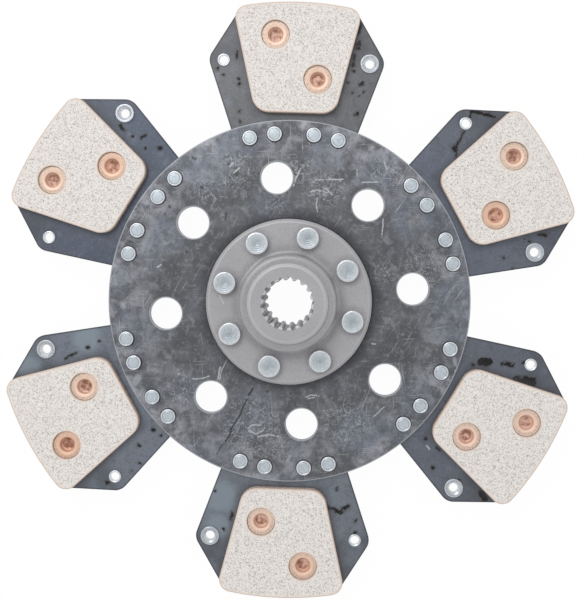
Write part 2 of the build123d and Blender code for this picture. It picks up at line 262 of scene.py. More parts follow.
@dataclass
class Draft:
    """Points, faces and shading of a piece while it is made.

    The mark of a point is what the finish reads there: the distance in millimetres from the
    nearest edge on a flat piece, and from its own axis on a turned one. Its tone tells apart
    pieces of one kind.
    """

    points: list[Vector] = field(default_factory=list)
    marks: list[float] = field(default_factory=list)
    tones: list[float] = field(default_factory=list)
    faces: list[tuple[int, ...]] = field(default_factory=list)
    smooth: list[bool] = field(default_factory=list)

    def ring(self, places: Iterable[Corner], mark: float = 0.0) -> Ring:
        """Adds points.

        Args:
            places: where they are, in metres.
            mark: their mark as a distance in metres.

        Returns:
            Their numbers in the draft.
        """
        start = len(self.points)
        self.points.extend(Vector(place) for place in places)
        count = len(self.points) - start
        self.marks.extend([mark / MM] * count)
        self.tones.extend([0.0] * count)
        return list(range(start, start + count))

    def face(self, corners: tuple[int, ...], smooth: bool) -> None:
        """Adds one face. Of corners that are one point only the first counts.

        Args:
            corners: the numbers of its points, counter-clockwise seen from outside.
            smooth: whether it is shaded smooth.
        """
        corners = tuple(dict.fromkeys(corners))
        if len(corners) > 2:
            self.faces.append(corners)
            self.smooth.append(smooth)

    def bridge(self, lower: Ring, upper: Ring, smooth: bool = True) -> None:
        """Adds the faces between two rings, of which one may be a single point.

        Args:
            lower: the ring met first on a walk with the material on the left.
            upper: the next ring.
            smooth: whether a sloping stretch is shaded smooth. A level one is always flat.
        """
        heights = [self.points[index].z for index in (*lower, *upper)]
        smooth = smooth and max(heights) - min(heights) > FLAT_RISE
        count = max(len(lower), len(upper))
        for k in range(count):
            n = (k + 1) % count
            if len(lower) == 1:
                self.face((lower[0], upper[n], upper[k]), smooth)
            elif len(upper) == 1:
                self.face((lower[k], lower[n], upper[0]), smooth)
            else:
                self.face((lower[k], lower[n], upper[n], upper[k]), smooth)

    def walls(self, rings: Sequence[Ring], smooth: bool = True) -> None:
        """Adds the faces between each ring and the next."""
        for lower, upper in pairwise(rings):
            self.bridge(lower, upper, smooth)

    def fill(self, rings: Sequence[Ring], upward: bool) -> None:
        """Adds flat triangles inside the first ring and outside the others.

        Args:
            rings: at one height. The others are convex.
            upward: whether the triangles face up.
        """
        indices = [index for ring in rings for index in ring]
        number = {index: k for k, index in enumerate(indices)}
        edges = [(number[a], number[b]) for ring in rings for a, b in zip(ring, ring[1:] + ring[:1])]
        flat = [self.points[index].xy / MM for index in indices]
        _, _, faces, sources, _, _ = delaunay_2d_cdt(flat, edges, [], INSIDE, ARC_SAGITTA)
        holes = [set(ring) for ring in rings[1:]]
        for face in faces:
            corners = tuple(indices[sources[k][0]] for k in face)
            if not any(within.issuperset(corners) for within in holes):
                self.face(corners if upward else corners[::-1], False)

    def copies(self, places: Sequence[Matrix], tones: Sequence[float]) -> "Draft":
        """Copies the draft.

        Args:
            places: where the copies go.
            tones: one for each of them.

        Returns:
            One draft that holds them all.
        """
        whole = Draft()
        for place, tone in zip(places, tones, strict=True):
            start = len(whole.points)
            whole.points += [place @ point for point in self.points]
            whole.marks += self.marks
            whole.tones += [tone] * len(self.points)
            whole.faces += [tuple(start + index for index in face) for face in self.faces]
            whole.smooth += self.smooth
        return whole

    def row(self, places: Sequence[Matrix]) -> "Draft":
        """One draft of several copies with tones from 0 to 1, neighbours well apart."""
        return self.copies(places, spread(len(places)))

    def piece(self, name: str, material: Material, slot: Slot, node: str) -> None:
        """Makes the object that stands for a node of the frame.

        Args:
            name: the object's name.
            material: its finish.
            slot: not used.
            node: the node that it replaces.
        """
        mesh = bpy.data.meshes.new(name)
        mesh.from_pydata(self.points, [], self.faces)
        mesh.polygons.foreach_set("use_smooth", self.smooth)
        for title, values in (("mark", self.marks), ("tone", self.tones)):
            mesh.attributes.new(title, "FLOAT", "POINT").data.foreach_set("value", values)
        mesh.materials.append(material)
        mesh.update()
        shown = show(name, mesh)
        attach(shown, "root")
        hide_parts(node)
        LOG.info("%s: %d faces, stands for %s", name, len(mesh.polygons), node)


def show(name: str, data: bpy.types.ID) -> bpy.types.Object:
    """Adds an object to the scene.

    Args:
        name: the object's name.
        data: the mesh, lamp or camera that it shows.

    Returns:
        The object.
    """
    shown = bpy.data.objects.new(name, data)
    bpy.context.scene.collection.objects.link(shown)
    return shown


def both_sides(draft: Draft, kind: str, material: Material, slot: Slot, tones: Sequence[float]) -> None:
    """Makes the piece that every paddle has on its front and on its back.

    Args:
        draft: the one on the front of paddle 1.
        kind: what the frame's nodes call it.
        material: its finish.
        slot: the record's slot that the finish belongs to.
        tones: one for each paddle.
    """
    for side in Side:
        for number, tone in zip(PADDLES, tones, strict=True):
            half = draft.copies([paddle_turn(number, side)], [tone])
            half.piece(f"{kind}_{side.value}_{number}", material, slot, f"{side.value}_{kind}_{number}")


def raised(outline: Iterable[Point], height: float) -> list[Corner]:
    """Points of an outline at a height."""
    return [(x, y, height) for x, y in outline]


@dataclass(frozen=True)
class Station:
    """Ring of a rim's section: how far inside the outline, how high, and its mark."""

    inset: float
    height: float
    mark: float = 0.0


@dataclass(frozen=True)
class Rim:
    """Boundary of a flat piece: an outline and the stations of its section, from below."""

    outline: list[Point]
    stations: list[Station]


@dataclass(frozen=True)
class EdgeForm:
    """How the edges of a flat piece are broken, and where its finish follows them."""

    rounding: float
    bands: tuple[float, ...]

    def upper(self, height: float, base: float = 0.0) -> list[Station]:
        """Stations of an upper edge, from the wall to the flat.

        Args:
            height: of the flat.
            base: how far inside the outline the wall stands.

        Returns:
            The stations, the bands' rings last.
        """
        turn = evenly(0.0, pi / 2, FILLET_STEPS)
        arc = [
            Station(base + self.rounding * (1 - cos(a)), height - self.rounding * (1 - sin(a)))
            for a in turn
        ]
        return arc + [Station(base + self.rounding + band, height, band) for band in self.bands]

    def lower(self, height: float, base: float = 0.0) -> list[Station]:
        """Stations of a lower edge, from the flat to the wall."""
        upper = self.upper(-height, base)
        return [Station(station.inset, -station.height, station.mark) for station in reversed(upper)]

    def rim(self, outline: list[Point], low: float, high: float) -> Rim:
        """Rim with both its edges broken."""
        return Rim(outline, self.lower(low) + self.upper(high))


def plain_rim(outline: list[Point], low: float, high: float) -> Rim:
    """Rim of a hole that a rivet fills, with sharp edges that the finish doesn't follow."""
    return Rim(outline, [Station(0.0, low, OPEN_FACE), Station(0.0, high, OPEN_FACE)])


def flat_piece(rims: Sequence[Rim]) -> Draft:
    """Flat piece inside its first rim and outside the others.

    Args:
        rims: the outer rim, counter-clockwise, and those of the holes, clockwise.

    Returns:
        The closed draft.
    """
    draft = Draft()
    ends: list[tuple[Ring, Ring]] = []
    for rim in rims:
        rings = [
            draft.ring(raised(inset(rim.outline, stop.inset), stop.height), stop.mark)
            for stop in rim.stations
        ]
        draft.walls(rings)
        ends.append((rings[0], rings[-1]))
    draft.fill([lower for lower, _ in ends], upward=False)
    draft.fill([upper for _, upper in ends], upward=True)
    return draft


def turned(profile: Sequence[Point], columns: int, closed: bool = False) -> Draft:
    """Piece turned about Z.

    Args:
        profile: (radius, height) points, walked with the material on the left.
        columns: how many facets go round.
        closed: whether the profile closes on itself, as a tube's does.

    Returns:
        The closed draft.
    """
    draft = Draft()
    angles = evenly(0.0, FULL_TURN, columns)[:-1]
    rings = []
    for radius, height in profile:
        round_places = [on_circle(radius, angle) for angle in angles]
        rings.append(draft.ring(raised(round_places if radius > 0 else [AXIS], height), radius))
    draft.walls(rings + rings[:1] if closed else rings)
    return draft


def spread(count: int) -> list[float]:
    """Numbers from 0 to 1, neighbours well apart."""
    golden = (sqrt(5) - 1) / 2
    return [k * golden % 1 for k in range(count)]


def linear(code: str) -> Colour:
    """Turns an sRGB colour into what a shader takes.

    Args:
        code: the colour in hex, such as #a0a0a0.

    Returns:
        Linear red, green, blue and alpha.
    """
    channels = (int(code[k:k + 2], 16) / 255 for k in (1, 3, 5))
    red, green, blue = (c / 12.92 if c <= 0.04045 else ((c + 0.055) / 1.055) ** 2.4 for c in channels)
    return red, green, blue, 1.0


def pitch(millimetres: float) -> float:
    """Texture scale at which one feature is that many millimetres."""
    return 1 / (millimetres * MM)


def add_node(tree: Tree, kind: str, inputs: Inputs | None = None, output: str | int = 0,
             **settings: object) -> Socket:
    """Adds a node with its settings, values and links.

    Args:
        tree: where it goes.
        kind: the node's type, without its ShaderNode prefix.
        inputs: a value or another node's socket for each input that isn't left at its default.
        output: which of its sockets is wanted.
        settings: the node's own properties.

    Returns:
        The wanted output socket.
    """
    node = tree.nodes.new(f"ShaderNode{kind}")
    for name, value in settings.items():
        setattr(node, name, value)
    for key, value in (inputs or {}).items():
        if isinstance(value, Socket):
            tree.links.new(value, node.inputs[key])
        else:
            node.inputs[key].default_value = value
    return node.outputs[output]


FACTOR, FIRST, SECOND, MIXED = 0, 6, 7, 2       # socket numbers of the Mix node's colour mode
FLAT = (1 / MM, 1 / MM, 0.0)                    # turns a place to millimetres and drops its height


@dataclass(frozen=True)
class Mark:
    """Listed mark: a spot, or a line through points, in millimetres, and half its width."""

    points: tuple[Point, ...]
    half_width: float

    def turned(self, number: int) -> "Mark":
        """Moves the mark from paddle 1 to another paddle.

        Args:
            number: the paddle.

        Returns:
            The moved mark.
        """
        turn = paddle_turn(number).to_3x3()
        moved = [turn @ Vector((*point, 0.0)) for point in self.points]
        return Mark(tuple((point.x, point.y) for point in moved), self.half_width)

    def outside(self, coat: "Coat", place: Socket) -> Socket:
        """Works out in the shader how far a place lies outside the mark.

        Args:
            coat: the material.
            place: where on the disc, in millimetres.

        Returns:
            The distance in millimetres, negative inside.
        """
        if len(self.points) == 1:
            inputs = {0: place, 1: (*self.points[0], 0.0)}
            away = coat.add("VectorMath", inputs, "Value", operation="DISTANCE")
        else:
            away = coat.least(coat.off_line(place, *ends) for ends in pairwise(self.points))
        return coat.add("Math", {0: away, 1: self.half_width}, operation="SUBTRACT")


def spots(*places: Corner) -> tuple[Mark, ...]:
    """Round marks, each given as x, y and its radius."""
    return tuple(Mark(((x, y),), radius) for x, y, radius in places)


def lines(half_width: float, *runs: Sequence[Point]) -> tuple[Mark, ...]:
    """Marks of one width along lines."""
    return tuple(Mark(tuple(run), half_width) for run in runs)


def at_paddles(groups: Iterable[tuple[int, tuple[Mark, ...]]]) -> list[Mark]:
    """Marks of several paddles, each group given with its number and drawn on paddle 1."""
    return [mark.turned(number) for number, marks in groups for mark in marks]


@dataclass(frozen=True)
class Patches:
    """Cloudy patches of one colour.

    Attributes:
        colour: sRGB hex colour.
        size: of a patch in millimetres.
        seed: tells apart patches of one size.
        low: noise level where a patch begins, from 0 to 1.
        high: noise level where it is full.
        top: the mask inside a full patch.
        detail: octaves of finer noise.
        distortion: how far the patches are drawn out.
    """

    colour: str
    size: float
    seed: float
    low: float
    high: float
    top: float = 1.0
    detail: float = 3.0
    distortion: float = 0.0


class Coat:
    """A material while its nodes are laid, from the base colour up."""

    def __init__(self, name: str, base: str, metallic: float, roughness: float) -> None:
        """Starts the material.

        Args:
            name: what it really is and how its surface was made.
            base: sRGB hex colour.
            metallic: of the shader.
            roughness: of the shader, until something is linked to it.
        """
        self.material = bpy.data.materials.new(name)
        self.material.use_nodes = True
        self.tree = self.material.node_tree
        self.shader = self.tree.nodes["Principled BSDF"]
        self.shader.inputs["Metallic"].default_value = metallic
        self.shader.inputs["Roughness"].default_value = roughness
        self.shader.inputs["Base Color"].default_value = linear(base)
        self.place = self.add("TexCoord", output="Object")
        self.mark = self.add("Attribute", output="Fac", attribute_name="mark")
        self.tone = self.add("Attribute", output="Fac", attribute_name="tone")
        self.colour: object = linear(base)

    def add(self, kind: str, inputs: Inputs | None = None, output: str | int = 0,
            **settings: object) -> Socket:
        """Adds a node to this material, as add_node does."""
        return add_node(self.tree, kind, inputs, output, **settings)

    def lay(self, mask: Socket, colour: str) -> None:
        """Covers what is there with a colour where the mask is 1."""
        inputs = {FACTOR: mask, FIRST: self.colour, SECOND: linear(colour)}
        self.colour = self.add("Mix", inputs, MIXED, data_type="RGBA")

    def lay_patches(self, layers: Iterable[Patches]) -> None:
        """Lays patches, one kind over the other.

        Args:
            layers: the kinds, the lowest first.
        """
        for own in layers:
            mask = self.field(own.size, own.seed, own.low, own.high, own.top, own.detail, own.distortion)
            self.lay(mask, own.colour)

    def noise(self, size: float, seed: float, detail: float, distortion: float,
              output: str | int = 0) -> Socket:
        """Adds a cloudy noise.

        Args:
            size: of a patch in millimetres.
            seed: tells apart noises of one size.
            detail: octaves of finer noise.
            distortion: how far the patches are drawn out.
            output: the node's socket, its colour where three values are wanted in one.

        Returns:
            Values around a half.
        """
        inputs = {"Vector": self.place, "W": seed, "Scale": pitch(size), "Detail": detail,
                  "Distortion": distortion}
        return self.add("TexNoise", inputs, output, noise_dimensions="4D")

    def field(self, size: float, seed: float, low: float, high: float, top: float = 1.0,
              detail: float = 3.0, distortion: float = 0.0) -> Socket:
        """Mask of patches from 0 to top. What it takes is said at Patches."""
        return self.where(self.noise(size, seed, detail, distortion), low, high, top)

    def winding(self, size: float, seed: float, width: float, top: float) -> Socket:
        """Mask of thin winding lines, which follow one level of a noise.

        Args:
            size: of a bend in millimetres.
            seed: tells apart masks of one size.
            width: noise level either side of the line at which it ends.
            top: the mask along the line.

        Returns:
            The mask, from 0 to top.
        """
        level = self.add("Math", {0: self.noise(size, seed, 1.0, 0.6), 1: 0.5}, operation="SUBTRACT")
        return self.where(self.add("Math", {0: level}, operation="ABSOLUTE"), width, width / 4, top)

    def bent(self, size: float, reach: float, seed: float) -> Socket:
        """Place on the disc in millimetres, pushed about so that marks get broken outlines.

        Args:
            size: of a bend in millimetres.
            reach: how far apart places may be pushed, in millimetres.
            seed: tells apart bends of one size.

        Returns:
            The place, its height left out.
        """
        noise = self.noise(size, seed, 2.0, 0.0, "Color")
        shift = {0: noise, 1: (reach, reach, 0.0), 2: (-reach / 2, -reach / 2, 0.0)}
        pushed = self.add("VectorMath", shift, operation="MULTIPLY_ADD")
        return self.add("VectorMath", {0: self.place, 1: FLAT, 2: pushed}, operation="MULTIPLY_ADD")

    def length(self, place: Socket) -> Socket:
        """Distance of a place from the object's origin, in the place's own units."""
        return self.add("VectorMath", {0: place}, "Value", operation="LENGTH")

    def height(self) -> Socket:
        """Height in metres above the plane where the sheets of a paddle meet."""
        return self.add("SeparateXYZ", {0: self.place}, "Z")

    def radius(self) -> Socket:
        """Distance in millimetres from the shaft's axis."""
        return self.length(self.add("VectorMath", {0: self.place, 1: FLAT}, operation="MULTIPLY"))

    def off_line(self, place: Socket, start: Point, end: Point) -> Socket:
        """Works out how far a place lies from a straight stretch.

        Args:
            place: where on the disc, in millimetres.
            start: of the stretch.
            end: of the stretch.

        Returns:
            The distance in millimetres.
        """
        run = Vector(end) - Vector(start)
        away = self.add("VectorMath", {0: place, 1: (*start, 0.0)}, operation="SUBTRACT")
        along = {0: away, 1: (*(run / run.length_squared), 0.0)}
        share = self.add("VectorMath", along, "Value", operation="DOT_PRODUCT")
        held = self.add("Clamp", {"Value": share})
        foot = self.add("VectorMath", {0: (*run, 0.0), "Scale": held}, operation="SCALE")
        return self.add("VectorMath", {0: away, 1: foot}, "Value", operation="DISTANCE")

    def least(self, values: Iterable[Socket]) -> Socket:
        """The least of several values."""
        return reduce(lambda a, b: self.add("Math", {0: a, 1: b}, operation="MINIMUM"), values)

    def near(self, marks: Iterable[Mark], place: Socket, blur: float, top: float = 1.0) -> Socket:
        """Mask of listed marks.

        Args:
            marks: the marks.
            place: where on the disc, in millimetres.
            blur: how softly they end, in millimetres.
            top: the mask inside them.

        Returns:
            The mask, from 0 to top.
        """
        return self.where(self.least(mark.outside(self, place) for mark in marks), blur, 0.0, top)

    def rings(self, radius: Socket, zones: Iterable[tuple[float, float, str]]) -> None:
        """Covers a turned piece in rings from the inside out.

        Args:
            radius: from the piece's axis, in millimetres.
            zones: for each ring the radius where it begins, half the width over which it does
                so, and its colour.
        """
        for start, blur, colour in zones:
            self.lay(self.where(radius, start - blur, start + blur), colour)

    def where(self, value: Socket, start: float, end: float, top: float = 1.0) -> Socket:
        """Mask that rises smoothly with a value, or against it.

        Args:
            value: what it follows.
            start: the value at which the mask is 0.
            end: the value at which it is full, which may be the lesser.
            top: the full mask.

        Returns:
            The mask, from 0 to top.
        """
        low, high = sorted((start, end))
        first, last = (0.0, top) if start < end else (top, 0.0)
        inputs = {"Value": value, "From Min": low, "From Max": high, "To Min": first, "To Max": last}
        return self.add("MapRange", inputs, interpolation_type="SMOOTHSTEP")

    def both(self, first: Socket, second: Socket | float) -> Socket:
        """Mask where both masks are, or a value times a number."""
        return self.add("Math", {0: first, 1: second}, operation="MULTIPLY")

    def folded(self) -> Socket:
        """Turns the place about the shaft's axis into the right half of paddle 1.

        Returns:
            The turned place in metres, its height left out.
        """
        split = {name: self.add("SeparateXYZ", {0: self.place}, name) for name in ("X", "Y")}
        angle = self.add("Math", {0: split["X"], 1: split["Y"]}, operation="ARCTAN2")
        folded = self.add("Math", {0: angle, 1: pi / len(PADDLES)}, operation="PINGPONG")
        radius = self.length(self.add("CombineXYZ", split))
        across = self.both(radius, self.add("Math", {0: folded}, operation="SINE"))
        along = self.both(radius, self.add("Math", {0: folded}, operation="COSINE"))
        return self.add("CombineXYZ", {"X": across, "Y": along})

    def finish(self, bumps: Iterable[tuple[Socket, float]], roughness: Socket | None = None) -> Material:
        """Links what was laid to the shader.

        Args:
            bumps: height fields from 0 to 1 and their depth in millimetres.
            roughness: a socket, or None where the roughness is even.

        Returns:
            The material.
        """
        if isinstance(self.colour, Socket):
            self.tree.links.new(self.colour, self.shader.inputs["Base Color"])
        if roughness is not None:
            self.tree.links.new(roughness, self.shader.inputs["Roughness"])
        normal = None
        for height, depth in bumps:
            inputs = {"Height": height, "Distance": depth * MM, "Strength": 1.0}
            if normal is not None:
                inputs["Normal"] = normal
            normal = self.add("Bump", inputs)
        if normal is not None:
            self.tree.links.new(normal, self.shader.inputs["Normal"])
        return self.material


@dataclass(frozen=True)
class RivetRows:
    """Where the paddle rivets lie, for the rivets, for the marks that their setting left, and for the
    painted shade round their heads.
    """

    circle: float = 87.1 * MM
    angles: tuple[float, float] = (radians(6.71), radians(15.285))

    def points(self) -> list[Point]:
        """The four rivets of paddle 1."""
        return [off_centreline(self.circle, way * angle) for way in (-1, 1) for angle in self.angles]

    def distance(self, coat: Coat) -> Socket:
        """Works out in the shader how far a place lies from the nearest paddle rivet's axis.

        Args:
            coat: the material.

        Returns:
            The distance in millimetres.
        """
        here = coat.folded()
        rivets = [(*off_centreline(self.circle, angle), 0.0) for angle in self.angles]
        away = [coat.add("VectorMath", {0: here, 1: axis}, "Value", operation="DISTANCE") for axis in rivets]
        return coat.both(coat.least(away), 1 / MM)


@dataclass(frozen=True)
class Scratches:
    """Scratches that run one way: their direction in radians and their sizes in millimetres."""

    direction: float
    length: float
    width: float
    seed: float
    wave: float = 38.0
    sway: float = 9.0

    def mask(self, coat: Coat) -> Socket:
        """Makes thin broken streaks, bent a little so that they don't look ruled.

        Args:
            coat: the material.

        Returns:
            The mask, from 0 to 1.
        """
        waves = {"Vector": coat.place, "W": self.seed, "Scale": pitch(self.wave), "Detail": 1.0}
        bend = coat.add("TexNoise", waves, "Color", noise_dimensions="4D")
        shift = {0: bend, 1: (self.sway * MM,) * 3, 2: coat.place}
        bent = coat.add("VectorMath", shift, operation="MULTIPLY_ADD")
        size = (self.length * MM, self.width * MM, self.length * MM)
        lay = {"Vector": bent, "Rotation": (0.0, 0.0, self.direction), "Scale": size}
        laid = coat.add("Mapping", lay, vector_type="TEXTURE")
        streaks = {"Vector": laid, "W": self.seed, "Scale": 1.0, "Detail": 1.0}
        return coat.where(coat.add("TexNoise", streaks, noise_dimensions="4D"), 0.66, 0.74)


@dataclass(frozen=True)
class RolledSteel:
    """Low-carbon steel plate, hot rolled, cut out and left with an oil film.

    Its dark oxide skin is cloudy from the rolling and the oil. The dark ring round the hub's flange
    is partly oil gathered there and partly painted shade from the flange, and the thin dark rings at
    the foot of the flange's rim and of the paddle rivets' heads are painted shade. Where tools,
    tables and other discs rubbed it, it shows winding pale lines, flecks and thin scratches. Its
    noises are coarser than real mill scale, whose grains of a tenth of a millimetre are too fine to
    show.
    """

    base: str = "#6a6b6f"
    shade: str = "#56575b"
    cool: str = "#777d89"
    outer: str = "#a2a4ab"
    rubbed: str = "#9c9fa4"
    scratch: str = "#b6b8bc"
    # oil specks and scores, and the painted shade round the hub's flange
    oil_and_flange_shade: str = "#3c3d41"
    # painted shade at the foot of the flange's rim and of the paddle rivets' heads
    crevice_shade: str = "#303136"
    cut_edge: str = "#a4a7ac"
    cloud: float = 9.0
    patch: float = 27.0
    mottle: float = 1.5
    bend: float = 3.4
    ding: float = 1.1
    grain: float = 0.45
    outer_zone: Span = (63.0, 92.5)         # from the shaft's axis in millimetres, as the next two
    flange_oil_and_shade_zone: Span = (50.5, 43.0)
    flange_contact_shade_zone: Span = (43.9, 43.2)
    pressed_zone: Span = (4.9, 5.3)         # from a paddle rivet's axis, as the next two
    pressed_end: Span = (5.9, 5.5)
    rivet_foot_shade: Span = (4.6, 4.0)
    edge_zone: Span = (0.55, 0.15)          # from the nearest edge
    rivets: RivetRows = RivetRows()
    skin: tuple[Patches, ...] = (
        Patches(shade, cloud, 0.0, 0.36, 0.60, 0.9, 7.0, 0.5),
        Patches(cool, patch, 3.1, 0.50, 0.70, 0.5, 5.0, 0.3),
    )
    mottles: tuple[Patches, ...] = (
        Patches(shade, mottle, 5.5, 0.50, 0.68, 0.5, 4.0, 0.8),
        Patches(rubbed, mottle, 6.5, 0.54, 0.70, 0.4, 4.0, 0.8),
        Patches(shade, cloud * 0.6, 15.0, 0.48, 0.68, 0.40, 4.0, 0.8),
        Patches(rubbed, cloud * 0.5, 16.0, 0.50, 0.70, 0.35, 4.0, 0.8),
    )
    scratches: tuple[Scratches, ...] = (
        Scratches(radians(62), 16.0, 0.42, 1.7),
        Scratches(radians(4), 12.0, 0.36, 5.1),
        Scratches(radians(-84), 12.0, 0.36, 12.3),
    )
    blue_places: tuple[Mark, ...] = spots(
        (-30, 80, 6), (17, 78, 5), (62, 48, 7), (38, -66, 7), (85, 4, 7), (-65, 33, 5), (-90, 6, 4),
        (-23, -62, 7), (-52, -47, 4), (-44, 66, 6), (84, -12, 5), (45, 68, 5), (68, -48, 5),
    )
    worn_places: tuple[Mark, ...] = spots(
        (-18, -66, 12), (-30, 67, 6), (-44, 57, 4), (17, 59, 7), (68, 20, 8), (-8, 48, 3), (4, 68, 4),
        (32, -62, 9), (-55, -48, 5), (-86, 48, 3), (47, 68, 5), (84, -40, 4), (48, 17, 3), (-5, -78, 6),
    )
    scores: tuple[Mark, ...] = (
        *lines(0.4, ((-17.5, -46), (-19.5, -49.5))),
        *lines(0.3, ((-20.5, -52), (-22, -55), (-23.5, -59.5), (-25.5, -63), (-27.5, -66), (-28.7, -70),
                     (-31, -74))),
        *lines(0.15, ((-32.4, -76), (-35.5, -81))),
    )
    nicks: tuple[Mark, ...] = (
        *lines(0.12, ((-31.5, -31), (-33.5, -36), (-35, -42))),
        *lines(0.3, ((-34.8, -35.5), (-35.8, -41))),
        *lines(
            0.15, ((-49, -42), (-45, -41.8), (-40.5, -40.5)), ((12, 63.5), (17, 63.8), (26, 64.2)),
            ((13, 54), (12.4, 51), (13.2, 47)), ((33, 70), (33.3, 66)), ((36, 62.8), (44, 63.2)),
            ((11, -50.4), (14.5, -49.6)), ((46, -58.5), (51, -53.5)),
        ),
        *lines(
            0.2, ((9, 57), (13, 58.5), (18, 57)), ((17.5, 59), (20.5, 56)), ((0.4, 60), (1.5, 64), (4, 69)),
            ((47, 74), (48.5, 70)), ((47.5, 44), (47, 35)), ((10, -49.6), (13, -48.2), (17, -48.8)),
            ((43.6, -20.4), (45.4, -20.6)), ((-19.5, -67), (-17.5, -65.2), (-13, -65)),
            ((-19, -68), (-15, -69.6), (-11.5, -67.6)), ((-14, -71), (-9, -69.8), (-3.5, -70.6)),
            ((-33, 69), (-31.5, 71)), ((-24, 84), (-20, 85)),
        ),
        *lines(
            0.25, ((-56.8, -37.5), (-56.5, -40)), ((88.6, -31.3), (87.6, -33.6)), ((-69.2, 16), (-67, 17)),
            ((-30.5, 66), (-27.8, 68.4)),
        ),
    )
    rubs: tuple[Mark, ...] = (
        *lines(1.1, ((-79.2, -44.8), (-77.6, -42.4))), *lines(0.4, ((86.5, -27), (87.4, -30))),
    )
    specks: tuple[Mark, ...] = (
        *spots((-63.4, 47.5, 0.7), (-66, 43.2, 0.3), (-54, 24, 0.6), (-29.4, 65.3, 0.8), (-33.6, 70, 0.5),
               (-47.2, 57.6, 0.7), (-69, -70, 0.6), (2.5, -48, 0.4), (-10, -47.4, 0.5)),
        *lines(0.2, ((-84, 28.6), (-82.4, 28.3)), ((-34, 45), (-34.2, 41.5))),
        *lines(0.3, ((-52.4, 72.8), (-50.8, 72.2))),
    )

    def material(self) -> Material:
        """Makes the plate's material.

        Returns:
            The material, the skin laid first and the cut edges last.
        """
        coat = Coat("hot_rolled_steel_oiled", self.base, metallic=0.75, roughness=0.5)
        place = coat.bent(5.0, 1.3, 31.0)
        radius = coat.length(place)
        coat.lay(coat.where(radius, *self.outer_zone, 0.95), self.outer)
        coat.lay_patches(self.skin)
        blue = coat.near(self.blue_places, place, 9.0)
        coat.lay(coat.both(blue, coat.field(self.cloud, 13.0, 0.32, 0.60, 0.75, 5.0)), self.cool)
        coat.lay_patches(self.mottles)
        worn = coat.near(self.worn_places, place, 7.0)
        coat.lay(coat.both(worn, coat.winding(self.bend, 14.0, 0.03, 0.8)), self.rubbed)
        coat.lay(coat.both(worn, coat.winding(self.bend, 17.0, 0.04, 0.6)), self.shade)
        dings = coat.field(self.ding, 2.2, 0.56, 0.72, 0.55, 4.0, 1.0)
        coat.lay(coat.both(worn, dings), self.scratch)
        for number, scratches in enumerate(self.scratches):
            area = coat.field(self.patch, 20.0 + number, 0.44, 0.60, 0.65)
            coat.lay(coat.both(scratches.mask(coat), area), self.scratch)
        rough = coat.field(self.mottle, 9.5, 0.30, 0.50, detail=2.0)
        coat.lay(coat.both(rough, coat.near(self.nicks, place, 0.35, 0.85)), self.scratch)
        coat.lay(coat.near(self.rubs, place, 1.2, 0.8), self.rubbed)
        coat.lay(coat.near(self.specks, place, 0.5, 0.7), self.oil_and_flange_shade)
        coat.lay(coat.near(self.scores, place, 0.35, 0.85), self.oil_and_flange_shade)
        # partly oil and partly painted shade from the flange, darkest next to it
        coat.lay(coat.where(radius, *self.flange_oil_and_shade_zone, 0.66), self.oil_and_flange_shade)
        # painted shade: a thin dark ring at the foot of the flange's rim
        coat.lay(coat.where(radius, *self.flange_contact_shade_zone, 0.5), self.crevice_shade)
        distance = self.rivets.distance(coat)
        pressed = coat.where(distance, *self.pressed_zone)
        coat.lay(coat.both(pressed, coat.where(distance, *self.pressed_end, 0.25)), self.shade)
        # painted shade: a thin dark ring at the foot of each paddle rivet's head
        coat.lay(coat.where(distance, *self.rivet_foot_shade, 0.8), self.crevice_shade)
        coat.lay(coat.where(coat.mark, *self.edge_zone, 0.85), self.cut_edge)
        grain = coat.field(self.grain, 4.0, 0.2, 0.8, detail=2.0)
        gloss = coat.add("MapRange", {"Value": grain, "To Min": 0.42, "To Max": 0.58})
        return coat.finish([(grain, 0.012), (dings, 0.02)], gloss)


